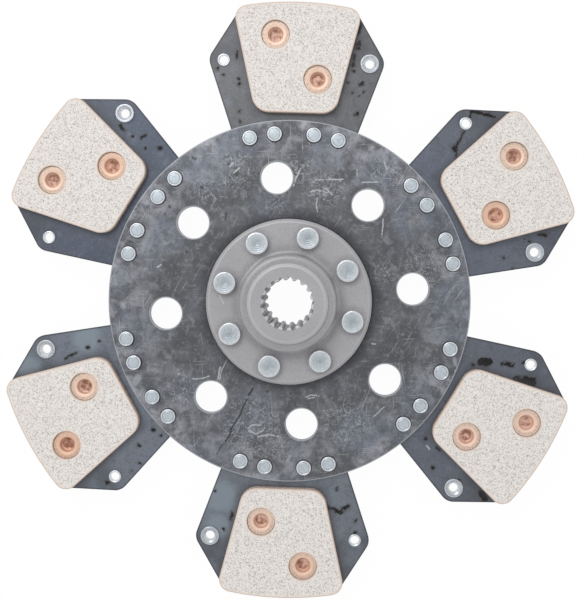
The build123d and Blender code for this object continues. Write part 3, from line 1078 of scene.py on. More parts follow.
@dataclass(frozen=True)
class SpringSteel:
    """Hardened and tempered spring-steel sheet, as cut, with quenching oil left on it.

    Each sheet has its own blue-grey temper colour, even and slightly glossy. The laser-cut edges
    are darker, and the oil has dried in black blots, drops and runs with a brown fringe. Its
    speckle is drawn at 0.9 mm, because the real one of a tenth of a millimetre wouldn't show.
    """

    tempers: tuple[str, ...] = ("#6b6c6f", "#676d7a", "#666b76", "#787f89", "#777e89", "#575e6c")
    neutral: str = "#717175"
    teal: str = "#87929c"
    # soot, and the painted shade beside the pads
    soot_and_pad_shade: str = "#505257"
    dusty: str = "#838a96"
    fringe: str = "#4b4643"
    oil: str = "#1f1e1e"
    flake: str = "#b4b8bd"
    cut_edge: str = "#3c3e44"
    cloud: float = 24.0
    blot: float = 12.0
    drop: float = 1.7
    speck: float = 0.9
    grain: float = 0.5
    face_zone: Span = (0.3 * MM, 0.6 * MM)      # from the plane where the sheets meet, in metres
    tip_zone: Span = (124 * MM, 134 * MM)       # from the shaft's axis in metres, as the next
    pad_foot: Span = (96 * MM, 100 * MM)
    pad_corner: Point = (20.8, 97.8)            # in millimetres, as what follows
    # width of the painted shade beside the pads
    halo: float = 4.5
    fringe_zone: Span = (1.5, 0.0)
    oil_zone: Span = (0.35, -0.1)
    edge_zone: Span = (0.9, 0.2)
    rivet_foot_shade_zone: Span = (4.5, 4.0)
    pad_lean: float = radians(13.5)
    rivets: RivetRows = RivetRows()
    clouds: tuple[Patches, ...] = (
        Patches(neutral, cloud, 1.5, 0.45, 0.70, 0.3, 4.0),
        Patches(soot_and_pad_shade, cloud / 5, 2.7, 0.46, 0.68, 0.35, 6.0, 0.6),
        Patches(dusty, cloud / 3, 4.4, 0.54, 0.72, 0.30, 5.0),
        Patches(soot_and_pad_shade, speck, 8.0, 0.48, 0.66, 0.35),
        Patches(dusty, speck, 8.5, 0.54, 0.70, 0.30),
    )
    paler: tuple[tuple[int, tuple[Mark, ...]], ...] = (
        (4, spots((33, 104, 5), (34, 119, 3))), (5, spots((33, 103, 4), (34, 137, 3))),
    )
    flakes: tuple[tuple[int, tuple[Mark, ...]], ...] = ((3, lines(0.2, ((26.6, 101), (27.4, 103)))),)
    blots: tuple[tuple[int, tuple[Mark, ...]], ...] = (
        (1, (
            *spots((-41, 120, 0.6), (-38, 117, 0.5), (-30, 115, 0.6), (-29.5, 112, 0.7), (-29, 98, 0.5),
                   (-28.5, 93, 0.5), (30, 121, 0.6), (27, 115, 0.5), (31, 98, 0.4), (32.5, 99, 0.7),
                   (29.6, 109.4, 0.3), (33, 107.9, 0.4), (35.4, 109.9, 0.3)),
            *lines(0.4, ((-31, 129), (-31.2, 125.5))), *lines(1.0, ((31.3, 132.5), (31.8, 135.5))),
            *lines(0.5, ((33, 113.4), (35, 114.6))), *lines(0.9, ((32.4, 145.5), (31.6, 141))),
            *lines(0.6, ((30, 128.5), (29.2, 124))),
        )),
        (2, (
            *spots((-42, 130, 0.9), (-30, 113, 0.9), (31.5, 125, 0.6), (30, 123, 0.5), (41, 111, 0.6),
                   (33, 109, 0.5), (-29.5, 113.4, 1.4)),
            *lines(0.3, ((-35, 122), (-32, 118), (-29.5, 114), (-25, 112))),
            *lines(0.4, ((-42.2, 130), (-40.2, 128.2))),
            *lines(0.6, ((31, 131), (33, 134)), ((-42, 131.2), (-38, 135.2), (-33.8, 139.2))),
        )),
        (3, (
            *spots((-22, 99, 0.8), (-37, 121, 0.6), (34.5, 110, 0.7), (23.5, 98.5, 0.8)),
            *lines(2.0, ((-31, 130), (-29, 126), (-27.4, 123))), *lines(0.8, ((-33, 116.5), (-31, 112))),
            *lines(1.9, ((-27.4, 105), (-25.6, 102))), *lines(1.3, ((32.4, 138.5), (34.2, 141.5))),
            *lines(0.4, ((33, 125), (36, 125))), *lines(0.5, ((25, 106), (25.2, 108))),
        )),
        (4, (
            *spots((-38, 121, 0.6), (-38, 114, 0.5), (-28, 98, 0.6), (31, 121, 0.6), (36, 101, 0.5)),
            *lines(0.7, ((-34, 107), (-30, 110), (-24, 108)), ((27, 112.6), (27.2, 115.4))),
        )),
        (5, (
            *spots((-39, 130, 0.7), (-40, 116, 0.6), (-38, 110, 0.5), (-29.5, 106, 0.7), (-26, 95, 0.8),
                   (-30.5, 93, 0.5), (28.5, 105, 0.6), (28.5, 98, 0.6)),
            *lines(0.4, ((29, 118), (29, 112))),
        )),
        (6, (
            *spots((30, 115, 0.7), (32, 99.5, 1.0), (28, 106, 0.6)),
            *lines(0.7, ((30.6, 120.8), (31.4, 123.2))), *lines(0.5, ((32, 110.6), (34, 109.6))),
        )),
    )

    def pad_side_shade(self, coat: Coat) -> Socket:
        """Makes the mask of the painted shade in a soft strip along the long sides of the pads.

        Args:
            coat: the material.

        Returns:
            The mask, highest under the pad.
        """
        across, along = cos(self.pad_lean), -sin(self.pad_lean)
        reach = {0: coat.folded(), 1: (across / MM, along / MM, 0.0)}
        out = coat.add("VectorMath", reach, "Value", operation="DOT_PRODUCT")
        side = self.pad_corner[0] * across + self.pad_corner[1] * along
        return coat.where(out, side + self.halo, side, 0.4)

    def material(self) -> Material:
        """Makes the sheets' material. Their tone is a tenth of their paddle's number.

        Returns:
            The material, the temper colours laid first and the painted shade round the rivets and beside the
            pads last.
        """
        coat = Coat("spring_steel_oil_tempered", self.tempers[0], metallic=0.7, roughness=0.42)
        for number, temper in zip(PADDLES, self.tempers, strict=True):
            here = coat.add("Math", {0: coat.tone, 1: number / 10, 2: 0.02}, operation="COMPARE")
            coat.lay(here, temper)
        coat.lay_patches(self.clouds)
        height = coat.height()
        front = coat.where(height, *self.face_zone)
        back = coat.where(height, *(-depth for depth in self.face_zone))
        radius = coat.length(coat.place)
        dull = coat.field(self.cloud / 2, 3.5, 0.30, 0.62, detail=4.0)
        coat.lay(coat.both(dull, coat.where(radius, *self.tip_zone, 0.6)), self.soot_and_pad_shade)
        place = coat.bent(2.4, 3.2, 40.0)
        coat.lay(coat.both(front, coat.near(at_paddles(self.paler), place, 6.0, 0.8)), self.teal)
        unseen = coat.both(back, coat.field(self.blot, 6.0, 0.63, 0.67, 0.92, 4.0, 0.7))
        beyond = coat.least(mark.outside(coat, place) for mark in at_paddles(self.blots))
        ragged = coat.both(front, coat.field(self.drop, 9.0, 0.30, 0.46, detail=4.0))
        coat.lay(coat.both(ragged, coat.where(beyond, *self.fringe_zone, 0.6)), self.fringe)
        coat.lay(coat.both(ragged, coat.where(beyond, *self.oil_zone, 0.95)), self.oil)
        coat.lay(coat.near(at_paddles(self.flakes), place, 0.5, 0.8), self.flake)
        coat.lay(unseen, self.oil)
        coat.lay(coat.where(coat.mark, *self.edge_zone, 0.75), self.cut_edge)
        # painted shade round the foot of the paddle rivets' heads, laid in the cut edges' colour
        coat.lay(coat.where(self.rivets.distance(coat), *self.rivet_foot_shade_zone, 0.7), self.cut_edge)
        # painted shade in a soft strip beside the pads' long sides, beyond their foot
        beyond_foot = coat.where(radius, *self.pad_foot)
        coat.lay(coat.both(self.pad_side_shade(coat), beyond_foot), self.soot_and_pad_shade)
        return coat.finish([(coat.field(self.grain, 4.0, 0.2, 0.8, detail=2.0), 0.006)])


@dataclass(frozen=True)
class ForgedSteel:
    """Hub forging, shot-blasted, with its boss and rim turned.

    Blasting leaves an even light grey with a fine matt grain. Its pits of a quarter of a
    millimetre are drawn at 0.7 mm so that they show. The turned chamfers are brighter and a
    little smoother, and their pale rings are partly painted highlight. The darker rings round the
    foot of the boss and of the shoulder are painted shade, the paler one on the shoulder's rounded
    edge painted highlight, and the bore's mouth is painted lighter against the shade in it.
    """

    # base colour, which shows in the bore's mouth, painted lighter there against the shade in it
    mouth: str = "#dddcde"
    shade: str = "#9c9b9e"
    light: str = "#bbbabc"
    pitted: str = "#8b8a8e"
    # turned metal and a fresh scratch, and painted highlight on the turned chamfer, the rim and the bore's
    # mouth
    bright_metal_and_highlight: str = "#c2c1c3"
    # rings from the shaft's axis: the darker ones at 20.6 and 25.8 mm are painted shade round the foot of
    # the boss and of the shoulder, and the paler one at 23.0 mm painted highlight on the shoulder's rounded
    # edge
    zones: tuple[tuple[float, float, str], ...] = (
        (12.7, 0.15, bright_metal_and_highlight), (13.0, 0.3, "#a6a5a8"), (20.6, 0.3, "#979699"), (23.0, 0.8, "#aeadb0"),
        (25.8, 0.9, "#949396"), (29.4, 1.8, "#a4a3a6"),
    )
    nick: tuple[Mark, ...] = lines(0.12, ((-35.7, 2.5), (-33.4, -2.0)))
    blotch: float = 17.0
    grain: float = 0.7
    halo: float = 6.3                           # from a rivet's axis in millimetres
    chamfer_start: Span = (18.3, 18.9)          # from the shaft's axis in millimetres, as the next two
    chamfer_end: Span = (20.7, 20.3)
    rim_zone: Span = (40.6, 41.4)
    chamfer_height: Span = (22.6 * MM, 23.2 * MM)

    def material(self, rivets: Sequence[Point]) -> Material:
        """Makes the hub's material.

        Args:
            rivets: the axes of the rivets in its flange, whose setting left it darker round them.

        Returns:
            The material, its rings, partly painted shade and highlight, laid first and the turned edges
            last.
        """
        coat = Coat("forged_steel_shot_blasted", self.mouth, metallic=0.6, roughness=0.55)
        radius = coat.radius()
        # rings of painted shade and highlight round the boss and shoulder
        coat.rings(radius, self.zones)
        coat.lay(coat.field(self.blotch, 0.4, 0.40, 0.70, 0.6, 5.0), self.shade)
        place = coat.bent(6.0, 1.0, 3.0)
        heads = spots(*((x / MM, y / MM, self.halo) for x, y in rivets))
        coat.lay(coat.near(heads, place, 3.2, 0.6), self.pitted)
        grain = coat.field(self.grain, 2.0, 0.35, 0.65)
        coat.lay(coat.both(grain, coat.field(self.blotch, 5.0, 0.2, 0.6, 0.35)), self.light)
        coat.lay(coat.field(self.grain, 7.0, 0.52, 0.70, 0.3), self.pitted)
        # the turned chamfer round the boss: paler as turned metal and as painted highlight
        ring = coat.both(coat.where(radius, *self.chamfer_start), coat.where(radius, *self.chamfer_end))
        coat.lay(coat.both(ring, coat.where(coat.height(), *self.chamfer_height)), self.bright_metal_and_highlight)
        # the flange's turned rim: paler as turned metal and as painted highlight
        coat.lay(coat.where(radius, *self.rim_zone, 0.7), self.bright_metal_and_highlight)
        coat.lay(coat.near(self.nick, place, 0.3, 0.8), self.bright_metal_and_highlight)
        return coat.finish([(grain, 0.03)])


@dataclass(frozen=True)
class ZincPlate:
    """Bright zinc-plated steel rivet.

    The plating is pale and slightly blue. The setting tool left rings of different gloss, which
    differ from one kind of rivet to the next. The pale rings along the rims of the hub and paddle
    rivets' heads are painted highlight, and the dark ring in the paddle rivets' groove is painted
    shade. Turned rings are drawn about a millimetre apart, because the real ones of a tenth of
    that are too fine to show.
    """

    name: str
    core: str
    zones: tuple[tuple[float, float, str], ...]
    tool_marks: float = 0.0         # spacing of the turned rings in millimetres
    cool: str = "#b9c4cb"
    stain: float = 2.3
    grain: float = 0.4
    clouds: tuple[Patches, ...] = (
        Patches("#98a1a8", stain / 2, 6.0, 0.50, 0.66, 0.35, 4.0),
        Patches("#dfe5e9", stain / 2, 7.0, 0.50, 0.66, 0.35, 4.0),
    )

    def material(self) -> Material:
        """Makes the rivets' material.

        Returns:
            The material, with turned rings only where tool_marks is set.
        """
        coat = Coat(self.name, self.core, metallic=0.85, roughness=0.32)
        coat.rings(coat.mark, self.zones)
        coat.lay(coat.both(coat.tone, coat.field(self.stain, 1.0, 0.35, 0.65, 0.45)), self.cool)
        coat.lay_patches(self.clouds)
        bumps = [(coat.field(self.grain, 4.0, 0.3, 0.7, detail=2.0), 0.006)]
        if self.tool_marks:
            turns = coat.both(coat.mark, FULL_TURN / self.tool_marks)
            bumps.append((coat.add("Math", {0: turns}, operation="SINE"), 0.02))
        return coat.finish(bumps)


@dataclass(frozen=True)
class SinteredMix:
    """Sintered copper-ceramic friction mix, pressed and left as ground.

    The ground face is a matt cream with fine grey, white and pinkish grains, and so are the
    drilled counterbores. The edges and the side walls, which the grinding didn't reach, keep a
    copper skin. Its grains are drawn at half a millimetre, twice as large as they are, to show.
    """

    base: str = "#dcd7d2"
    skin: str = "#e3d5ca"
    rim: str = "#cbbbaf"
    wall: str = "#cfbbae"
    wall_shade: str = "#aa978c"
    grain: float = 0.52
    skin_zone: Span = (1.5, 0.2)                # from the nearest edge in millimetres, as the next
    rim_zone: Span = (0.35, 0.0)
    drilled_zone: Span = (-0.3, 0.0)            # the mark of a drilled wall is less than 0
    upright_zone: Span = (0.75, 0.35)           # how far up a face looks, 1 where it is level
    grains: tuple[Patches, ...] = (
        Patches("#dbc8bd", 5.0, 1.0, 0.45, 0.75, 0.35, 5.0),
        Patches("#ebe7e3", grain, 2.0, 0.46, 0.60, 0.85, 1.0),
        Patches("#b9b4b0", grain * 1.3, 3.0, 0.52, 0.62, 0.8, 1.0),
        Patches("#8d8683", grain * 1.6, 5.0, 0.62, 0.70, 0.75, 1.0),
    )

    def material(self) -> Material:
        """Makes the pads' material.

        Returns:
            The material, the ground face laid first and the walls last.
        """
        coat = Coat("copper_ceramic_sintered", self.base, metallic=0.0, roughness=0.8)
        grain = coat.field(self.grain, 0.0, 0.30, 0.70, detail=2.0)
        coat.lay_patches(self.grains)
        coat.lay(coat.where(coat.mark, *self.skin_zone, 0.6), self.skin)
        coat.lay(coat.where(coat.mark, *self.rim_zone, 0.9), self.rim)
        level = coat.add("SeparateXYZ", {0: coat.add("NewGeometry", output="True Normal")}, "Z")
        steep = coat.where(coat.add("Math", {0: level}, operation="ABSOLUTE"), *self.upright_zone)
        upright = coat.both(steep, coat.where(coat.mark, *self.drilled_zone))
        coat.lay(upright, self.wall)
        coat.lay(coat.both(upright, coat.field(self.grain * 2, 8.0, 0.45, 0.6, 0.7)), self.wall_shade)
        return coat.finish([(grain, 0.03)])


@dataclass(frozen=True)
class SoftCopper:
    """Soft copper rivet, pressed from strip and rolled over.

    The roll is a pale matt rose, dusty towards its rim, and the bore is brown with oxide. The
    dust is drawn in specks of 0.9 mm, coarser than it is, so that it shows.
    """

    floor: str = "#d8b5a5"
    stained: str = "#8c5c48"
    dusty: str = "#bfa590"
    fresh: str = "#d9a483"
    zones: tuple[tuple[float, float, str], ...] = (
        (3.3, 0.3, "#e6c6b4"), (4.3, 0.4, "#ebcfbc"), (5.6, 0.8, "#dac1b0"), (6.5, 0.4, "#eee0d5"),
    )
    bore_radius: float = 3.7
    stain: float = 2.4
    speck: float = 0.9
    grain: float = 0.35

    def material(self) -> Material:
        """Makes the pad rivets' material.

        Returns:
            The material, the rings laid first and the stains and dust last.
        """
        coat = Coat("soft_copper_rolled", self.floor, metallic=0.45, roughness=0.55)
        coat.rings(coat.mark, self.zones)
        coat.lay(coat.where(coat.tone, 0.5, 0.95, 0.4), self.fresh)
        inside = coat.where(coat.mark, self.bore_radius - 0.2, self.bore_radius - 0.9)
        coat.lay(coat.both(inside, coat.field(self.stain, 3.0, 0.38, 0.62, 0.9)), self.stained)
        outside = coat.where(coat.mark, self.bore_radius + 0.6, self.bore_radius + 1.8)
        coat.lay(coat.both(outside, coat.field(self.speck, 6.0, 0.50, 0.64, 0.6)), self.dusty)
        return coat.finish([(coat.field(self.grain, 4.0, 0.3, 0.7, detail=2.0), 0.012)])


@dataclass(frozen=True)
class Heights:
    """Heights that several pieces share, above the plane where the sheets of a paddle meet."""

    sheet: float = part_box("front_sheet_1")[1].z
    plate_back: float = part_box("driven_plate")[0].z
    plate_front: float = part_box("driven_plate")[1].z
    pad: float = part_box("front_pad_1")[1].z
    flange_front: float = plate_front + 6 * MM


HEIGHTS = Heights()
OUTER_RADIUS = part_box("front_pad_1")[1].y


@dataclass(frozen=True)
class HubRivets:
    """Eight solid rivets through the hub's flange and the driven plate."""

    circle: float = 34.15 * MM
    count: int = 8
    start: float = radians(90 - 15.1)
    shank_radius: float = 4 * MM
    head_radius: float = 5.65 * MM
    head_height: float = 3.3 * MM
    dish: float = 0.22 * MM
    columns: int = 72

    def points(self) -> list[Point]:
        """Where their axes are."""
        step = FULL_TURN / self.count
        return [on_circle(self.circle, self.start - step * k) for k in range(self.count)]

    def head(self) -> list[Corner]:
        """Head as (radius, height above its seat, rounding), from the shank to the middle."""
        return [
            (self.shank_radius, 0.0, 0.0),
            (self.head_radius - 0.1 * MM, 0.0, 0.15 * MM),
            (self.head_radius, self.head_height * 0.35, 1.0 * MM),
            (self.head_radius, self.head_height, 0.4 * MM),
            (self.head_radius * 0.8, self.head_height, 1.5 * MM),
            (self.head_radius * 0.1, self.head_height - self.dish, 0.4 * MM),
            (0.0, self.head_height - self.dish, 0.0),
        ]

    def build(self) -> None:
        """Makes the group."""
        profile = solid_rivet(self.head(), HEIGHTS.plate_back, HEIGHTS.flange_front)
        places = [Matrix.Translation((*point, 0.0)) for point in self.points()]
        # the last ring, pale along the head's rounded rim, is painted highlight
        zones = ((1.0, 0.9, "#acb5bb"), (2.6, 1.2, "#bcc4ca"), (4.2, 0.8, "#cdd3d7"), (5.0, 0.2, "#dfe2e5"))
        finish = ZincPlate("steel_rivet_zinc_plated", "#9fa8af", zones, tool_marks=1.1)
        draft = turned(profile, self.columns).row(places)
        draft.piece("rivets_hub", finish.material(), Slot.RIVET, "hub_rivets")


def solid_rivet(head: Sequence[Corner], back_seat: float, front_seat: float) -> list[Point]:
    """Profile of a solid rivet with the same head at both ends.

    Args:
        head: (radius, height above its seat, rounding) from the shank to the middle.
        back_seat: height of the face under the back head.
        front_seat: height of the face under the front head.

    Returns:
        (radius, height) points from the middle of the back head to that of the front one.
    """
    back = [(radius, back_seat - rise, rounding) for radius, rise, rounding in reversed(head)]
    front = [(radius, front_seat + rise, rounding) for radius, rise, rounding in head]
    return rounded(back + front)


@dataclass(frozen=True)
class PaddleRivets:
    """Solid rivets through the driven plate and both sheets of a paddle, four to a paddle."""

    rows: RivetRows = RivetRows()
    shank_radius: float = 2.5 * MM
    head_radius: float = 3.85 * MM
    head_height: float = 1.5 * MM
    core_radius: float = 2.95 * MM
    groove_depth: float = 0.16 * MM
    columns: int = 56

    def head(self) -> list[Corner]:
        """Head as (radius, height above its seat, rounding), from the shank to the middle."""
        return [
            (self.shank_radius, 0.0, 0.0),
            (self.head_radius - 0.25 * MM, 0.0, 0.1 * MM),
            (self.head_radius, 0.3 * MM, 0.15 * MM),
            (self.head_radius, self.head_height, 0.38 * MM),
            (self.core_radius + 0.22 * MM, self.head_height, 0.05 * MM),
            (self.core_radius, self.head_height - self.groove_depth, 0.05 * MM),
            (self.core_radius - 0.25 * MM, self.head_height - 0.05 * MM, 0.1 * MM),
            (0.0, self.head_height - 0.03 * MM, 0.0),
        ]

    def build(self) -> None:
        """Makes the group."""
        profile = solid_rivet(self.head(), -HEIGHTS.sheet, HEIGHTS.plate_front)
        core = self.core_radius / MM
        # the dark ring just inside the core is painted shade in the head's groove, and the pale one from the
        # core outwards painted highlight on the raised rim
        zones = ((0.9, 0.3, "#c3ccd3"), (core - 0.25, 0.12, "#929ba2"), (core + 0.1, 0.1, "#dde1e5"))
        finish = ZincPlate("steel_rivet_zinc_plated_flat", "#c0cad2", zones)
        draft = turned(profile, self.columns).row(around(self.rows.points()))
        draft.piece("rivets_paddle", finish.material(), Slot.RIVET, "paddle_rivets")


@dataclass(frozen=True)
class Hub:
    """Forged and turned hub: boss, riveting flange, barrel and splined bore."""

    rivets: HubRivets = HubRivets()
    flange_radius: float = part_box("hub")[1].x
    flange_chamfer: float = 1.6 * MM
    boss_radius: float = 20.3 * MM
    boss_chamfer: float = 1.5 * MM
    shoulder_radius: float = 24.6 * MM
    shoulder_height: float = 12 * MM
    shoulder_fillet: float = 2.3 * MM
    foot_fillet: float = 2 * MM
    foot_margin: float = 0.6 * MM       # flat ring that is shaded with the fillet
    rim_margin: float = 0.7 * MM        # the same beside the flange's chamfer
    back_chamfer: float = 0.5 * MM
    barrel_radius: float = 19.5 * MM
    barrel_chamfer: float = 1 * MM
    front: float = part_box("hub")[1].z
    back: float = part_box("hub")[0].z
    teeth: int = 18
    major_radius: float = 13.45 * MM
    minor_radius: float = 11.9 * MM
    mouth_radius: float = 12.5 * MM
    face_radius: float = 13.9 * MM
    pressure_angle: float = radians(30)
    first_groove: float = radians(90 - 4.1)
    flank_steps: int = 4
    arc_steps: int = 4

    def half_groove(self, radius: float) -> float:
        """Works out how wide a groove is, from the involute of its flanks.

        Args:
            radius: where.

        Returns:
            Half the angle that the groove takes there.
        """
        pitch_radius = (self.major_radius + self.minor_radius) / 2
        base = pitch_radius * cos(self.pressure_angle)
        turn = acos(base / radius)
        start = tan(self.pressure_angle) - self.pressure_angle
        return pi / (2 * self.teeth) + start - (tan(turn) - turn)

    def columns(self) -> list[tuple[float, float]]:
        """Angle and bore radius of each column that goes along the hub, all the way round."""
        flank = [self.minor_radius, *evenly(self.mouth_radius, self.major_radius, self.flank_steps - 1)]
        right = [(-self.half_groove(radius), radius) for radius in flank]
        bottom = evenly(right[-1][0], -right[-1][0], self.arc_steps)[1:-1]
        left = [(-angle, radius) for angle, radius in reversed(right)]
        step = FULL_TURN / self.teeth
        land = evenly(left[-1][0], step + right[0][0], self.arc_steps)[1:-1]
        groove = [
            *right, *((angle, self.major_radius) for angle in bottom), *left,
            *((angle, self.minor_radius) for angle in land),
        ]
        return [
            (self.first_groove + step * k + angle, radius)
            for k in range(self.teeth) for angle, radius in groove
        ]

    def front_profile(self) -> list[Corner]:
        """Outside from the flange's face to the bore, as (radius, height, rounding)."""
        flange = HEIGHTS.flange_front
        shoulder = flange + self.shoulder_height
        return [
            (self.shoulder_radius + self.foot_fillet + self.foot_margin, flange, 0.0),
            (self.shoulder_radius, flange, self.foot_fillet),
            (self.shoulder_radius, shoulder, self.shoulder_fillet),
            (self.boss_radius, shoulder, 0.25 * MM),
            (self.boss_radius, self.front - self.boss_chamfer, 0.3 * MM),
            (self.boss_radius - self.boss_chamfer, self.front, 0.3 * MM),
            (self.face_radius, self.front, 0.0),
        ]

    def rim_profile(self) -> list[Corner]:
        """Rim of the flange from its back face to its front one."""
        back, front = HEIGHTS.plate_front, HEIGHTS.flange_front
        return [
            (self.flange_radius - self.back_chamfer, back, 0.0),
            (self.flange_radius, back + self.back_chamfer, 0.3 * MM),
            (self.flange_radius, front - self.flange_chamfer, 0.8 * MM),
            (self.flange_radius - self.flange_chamfer, front, 0.8 * MM),
            (self.flange_radius - self.flange_chamfer - self.rim_margin, front, 0.0),
        ]

    def barrel_profile(self) -> list[Corner]:
        """Back of the hub from the bore to the flange."""
        return [
            (self.face_radius, self.back, 0.0),
            (self.barrel_radius - self.barrel_chamfer, self.back, 0.2 * MM),
            (self.barrel_radius, self.back + self.barrel_chamfer, 0.2 * MM),
            (self.barrel_radius, HEIGHTS.plate_front, 0.0),
        ]

    def loops(self, draft: Draft, profile: Sequence[Corner]) -> list[Ring]:
        """Adds a stretch of the outside, which has a point at each of the bore's columns.

        Args:
            draft: where it goes.
            profile: its section as (radius, height, rounding).

        Returns:
            Its rings.
        """
        angles = [angle for angle, _ in self.columns()]
        made = [
            draft.ring(raised([on_circle(radius, angle) for angle in angles], height), radius)
            for radius, height in rounded(profile)
        ]
        draft.walls(made)
        return made

    def mouth(self, draft: Draft, end: float, inwards: int) -> tuple[Ring, Ring]:
        """Adds an end of the bore, where a chamfer cuts the teeth back to the mouth's radius.

        Args:
            draft: where it goes.
            end: height of the end face.
            inwards: 1 where the bore lies above it, and -1 where it lies below.

        Returns:
            The ring on the end face and the chamfer's other one. They share the points that the
            chamfer doesn't reach.
        """
        wide, columns = self.mouth_radius, self.columns()
        face = draft.ring([(*on_circle(max(radius, wide), angle), end) for angle, radius in columns], wide)
        cut = [(*on_circle(radius, angle), end + inwards * (wide - radius))
               for angle, radius in columns if radius < wide]
        made = iter(draft.ring(cut, wide))
        return face, [next(made) if radius < wide else own for own, (_, radius) in zip(face, columns)]

    def draft(self) -> Draft:
        """The hub's draft."""
        draft = Draft()
        barrel = self.loops(draft, self.barrel_profile())
        rim = self.loops(draft, self.rim_profile())
        boss = self.loops(draft, self.front_profile())
        front_face, front_bevel = self.mouth(draft, self.front, -1)
        back_face, back_bevel = self.mouth(draft, self.back, 1)
        bore = [boss[-1], front_face, front_bevel, back_bevel, back_face, barrel[0]]
        draft.walls(bore, smooth=False)
        holes = []
        for point in self.rivets.points():
            outline = hole(self.rivets.shank_radius, point)
            low = draft.ring(raised(outline, HEIGHTS.plate_front))
            high = draft.ring(raised(outline, HEIGHTS.flange_front))
            draft.bridge(low, high)
            holes.append((low, high))
        draft.fill([rim[0], barrel[-1][::-1], *(low for low, _ in holes)], upward=False)
        draft.fill([rim[-1], boss[0][::-1], *(high for _, high in holes)], upward=True)
        return draft

    def build(self) -> None:
        """Makes the piece."""
        self.draft().piece("hub_forging", ForgedSteel().material(self.rivets.points()), Slot.HUB, "hub")


@dataclass(frozen=True)
class DrivenPlate:
    """Steel disc that joins the hub's flange to the paddles, with its lightening holes."""

    hub_rivets: HubRivets = HubRivets()
    paddle_rivets: PaddleRivets = PaddleRivets()
    radius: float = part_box("driven_plate")[1].x
    centre_radius: float = 19.6 * MM
    hole_count: int = 8
    hole_radius: float = 8.25 * MM
    hole_circle: float = 64.5 * MM
    hole_start: float = radians(90 + 7.44)
    edge: EdgeForm = EdgeForm(rounding=0.25 * MM, bands=(0.25 * MM, 0.6 * MM))

    def draft(self) -> Draft:
        """The plate's draft."""
        low, high = HEIGHTS.plate_back, HEIGHTS.plate_front
        step = FULL_TURN / self.hole_count
        windows = [on_circle(self.hole_circle, self.hole_start - step * k) for k in range(self.hole_count)]
        rows = self.paddle_rivets.rows.points()
        small = self.paddle_rivets.shank_radius
        rivets = [paddle_turn(number) @ Vector((*point, 0.0)) for number in PADDLES for point in rows]
        return flat_piece([
            self.edge.rim(circle(self.radius), low, high),
            plain_rim(hole(self.centre_radius), low, high),
            *(self.edge.rim(hole(self.hole_radius, point), low, high) for point in windows),
            *(plain_rim(hole(self.hub_rivets.shank_radius, point), low, high)
              for point in self.hub_rivets.points()),
            *(plain_rim(hole(small, (point.x, point.y)), low, high) for point in rivets),
        ])

    def build(self) -> None:
        """Makes the piece."""
        self.draft().piece("plate_driven", RolledSteel().material(), Slot.PLATE, "driven_plate")


@dataclass(frozen=True)
class EarRivets:
    """Tubular rivets through both sheets at the ears, two to a paddle, set from either side."""

    circle: float = 130.3 * MM
    angle: float = radians(16.97)
    bore_radius: float = 2.3 * MM
    shank_radius: float = 2.75 * MM
    head_radius: float = 4.95 * MM
    flare_radius: float = 3.6 * MM
    roll_radius: float = 3.25 * MM
    columns: int = 64

    @property
    def point(self) -> Point:
        """Axis of the rivet that is set from the front, on paddle 1."""
        return off_centreline(self.circle, self.angle)

    def profile(self) -> list[Corner]:
        """Closed section as (radius, height, rounding): rolled end behind, funnel head in front."""
        sheet = HEIGHTS.sheet
        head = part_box("front_ear_rivets")[1].z
        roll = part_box("front_ear_rivets")[0].z
        return [
            (self.bore_radius, roll + 0.3 * MM, 0.3 * MM),
            ((self.bore_radius + self.roll_radius) / 2, roll, 0.3 * MM),
            (self.roll_radius, roll + 0.15 * MM, 0.2 * MM),
            (self.roll_radius, -sheet, 0.05 * MM),
            (self.shank_radius, -sheet, 0.0),
            (self.shank_radius, sheet, 0.0),
            (self.head_radius - 0.15 * MM, sheet, 0.05 * MM),
            (self.head_radius, sheet + 0.3 * MM, 0.2 * MM),
            (self.head_radius - 0.2 * MM, head, 0.25 * MM),
            (self.flare_radius, head - 0.05 * MM, 0.3 * MM),
            (self.bore_radius, sheet - 0.05 * MM, 0.9 * MM),
            (self.bore_radius, -0.4 * MM, 0.0),
        ]

    def build(self, side: Side) -> None:
        """Makes a group.

        Args:
            side: the one that its rivets are set from.
        """
        zones = ((2.6, 0.4, "#dadee2"), (3.3, 0.4, "#b2b6be"), (4.4, 0.15, "#d4d7db"))
        finish = ZincPlate(f"steel_tube_rivet_zinc_plated_{side.value}", "#e6e9ec", zones)
        tube = turned(rounded(self.profile(), closed=True), self.columns, closed=True)
        draft = tube.row(around([self.point], side))
        draft.piece(f"rivets_ear_{side.value}", finish.material(), Slot.RIVET, f"{side.value}_ear_rivets")


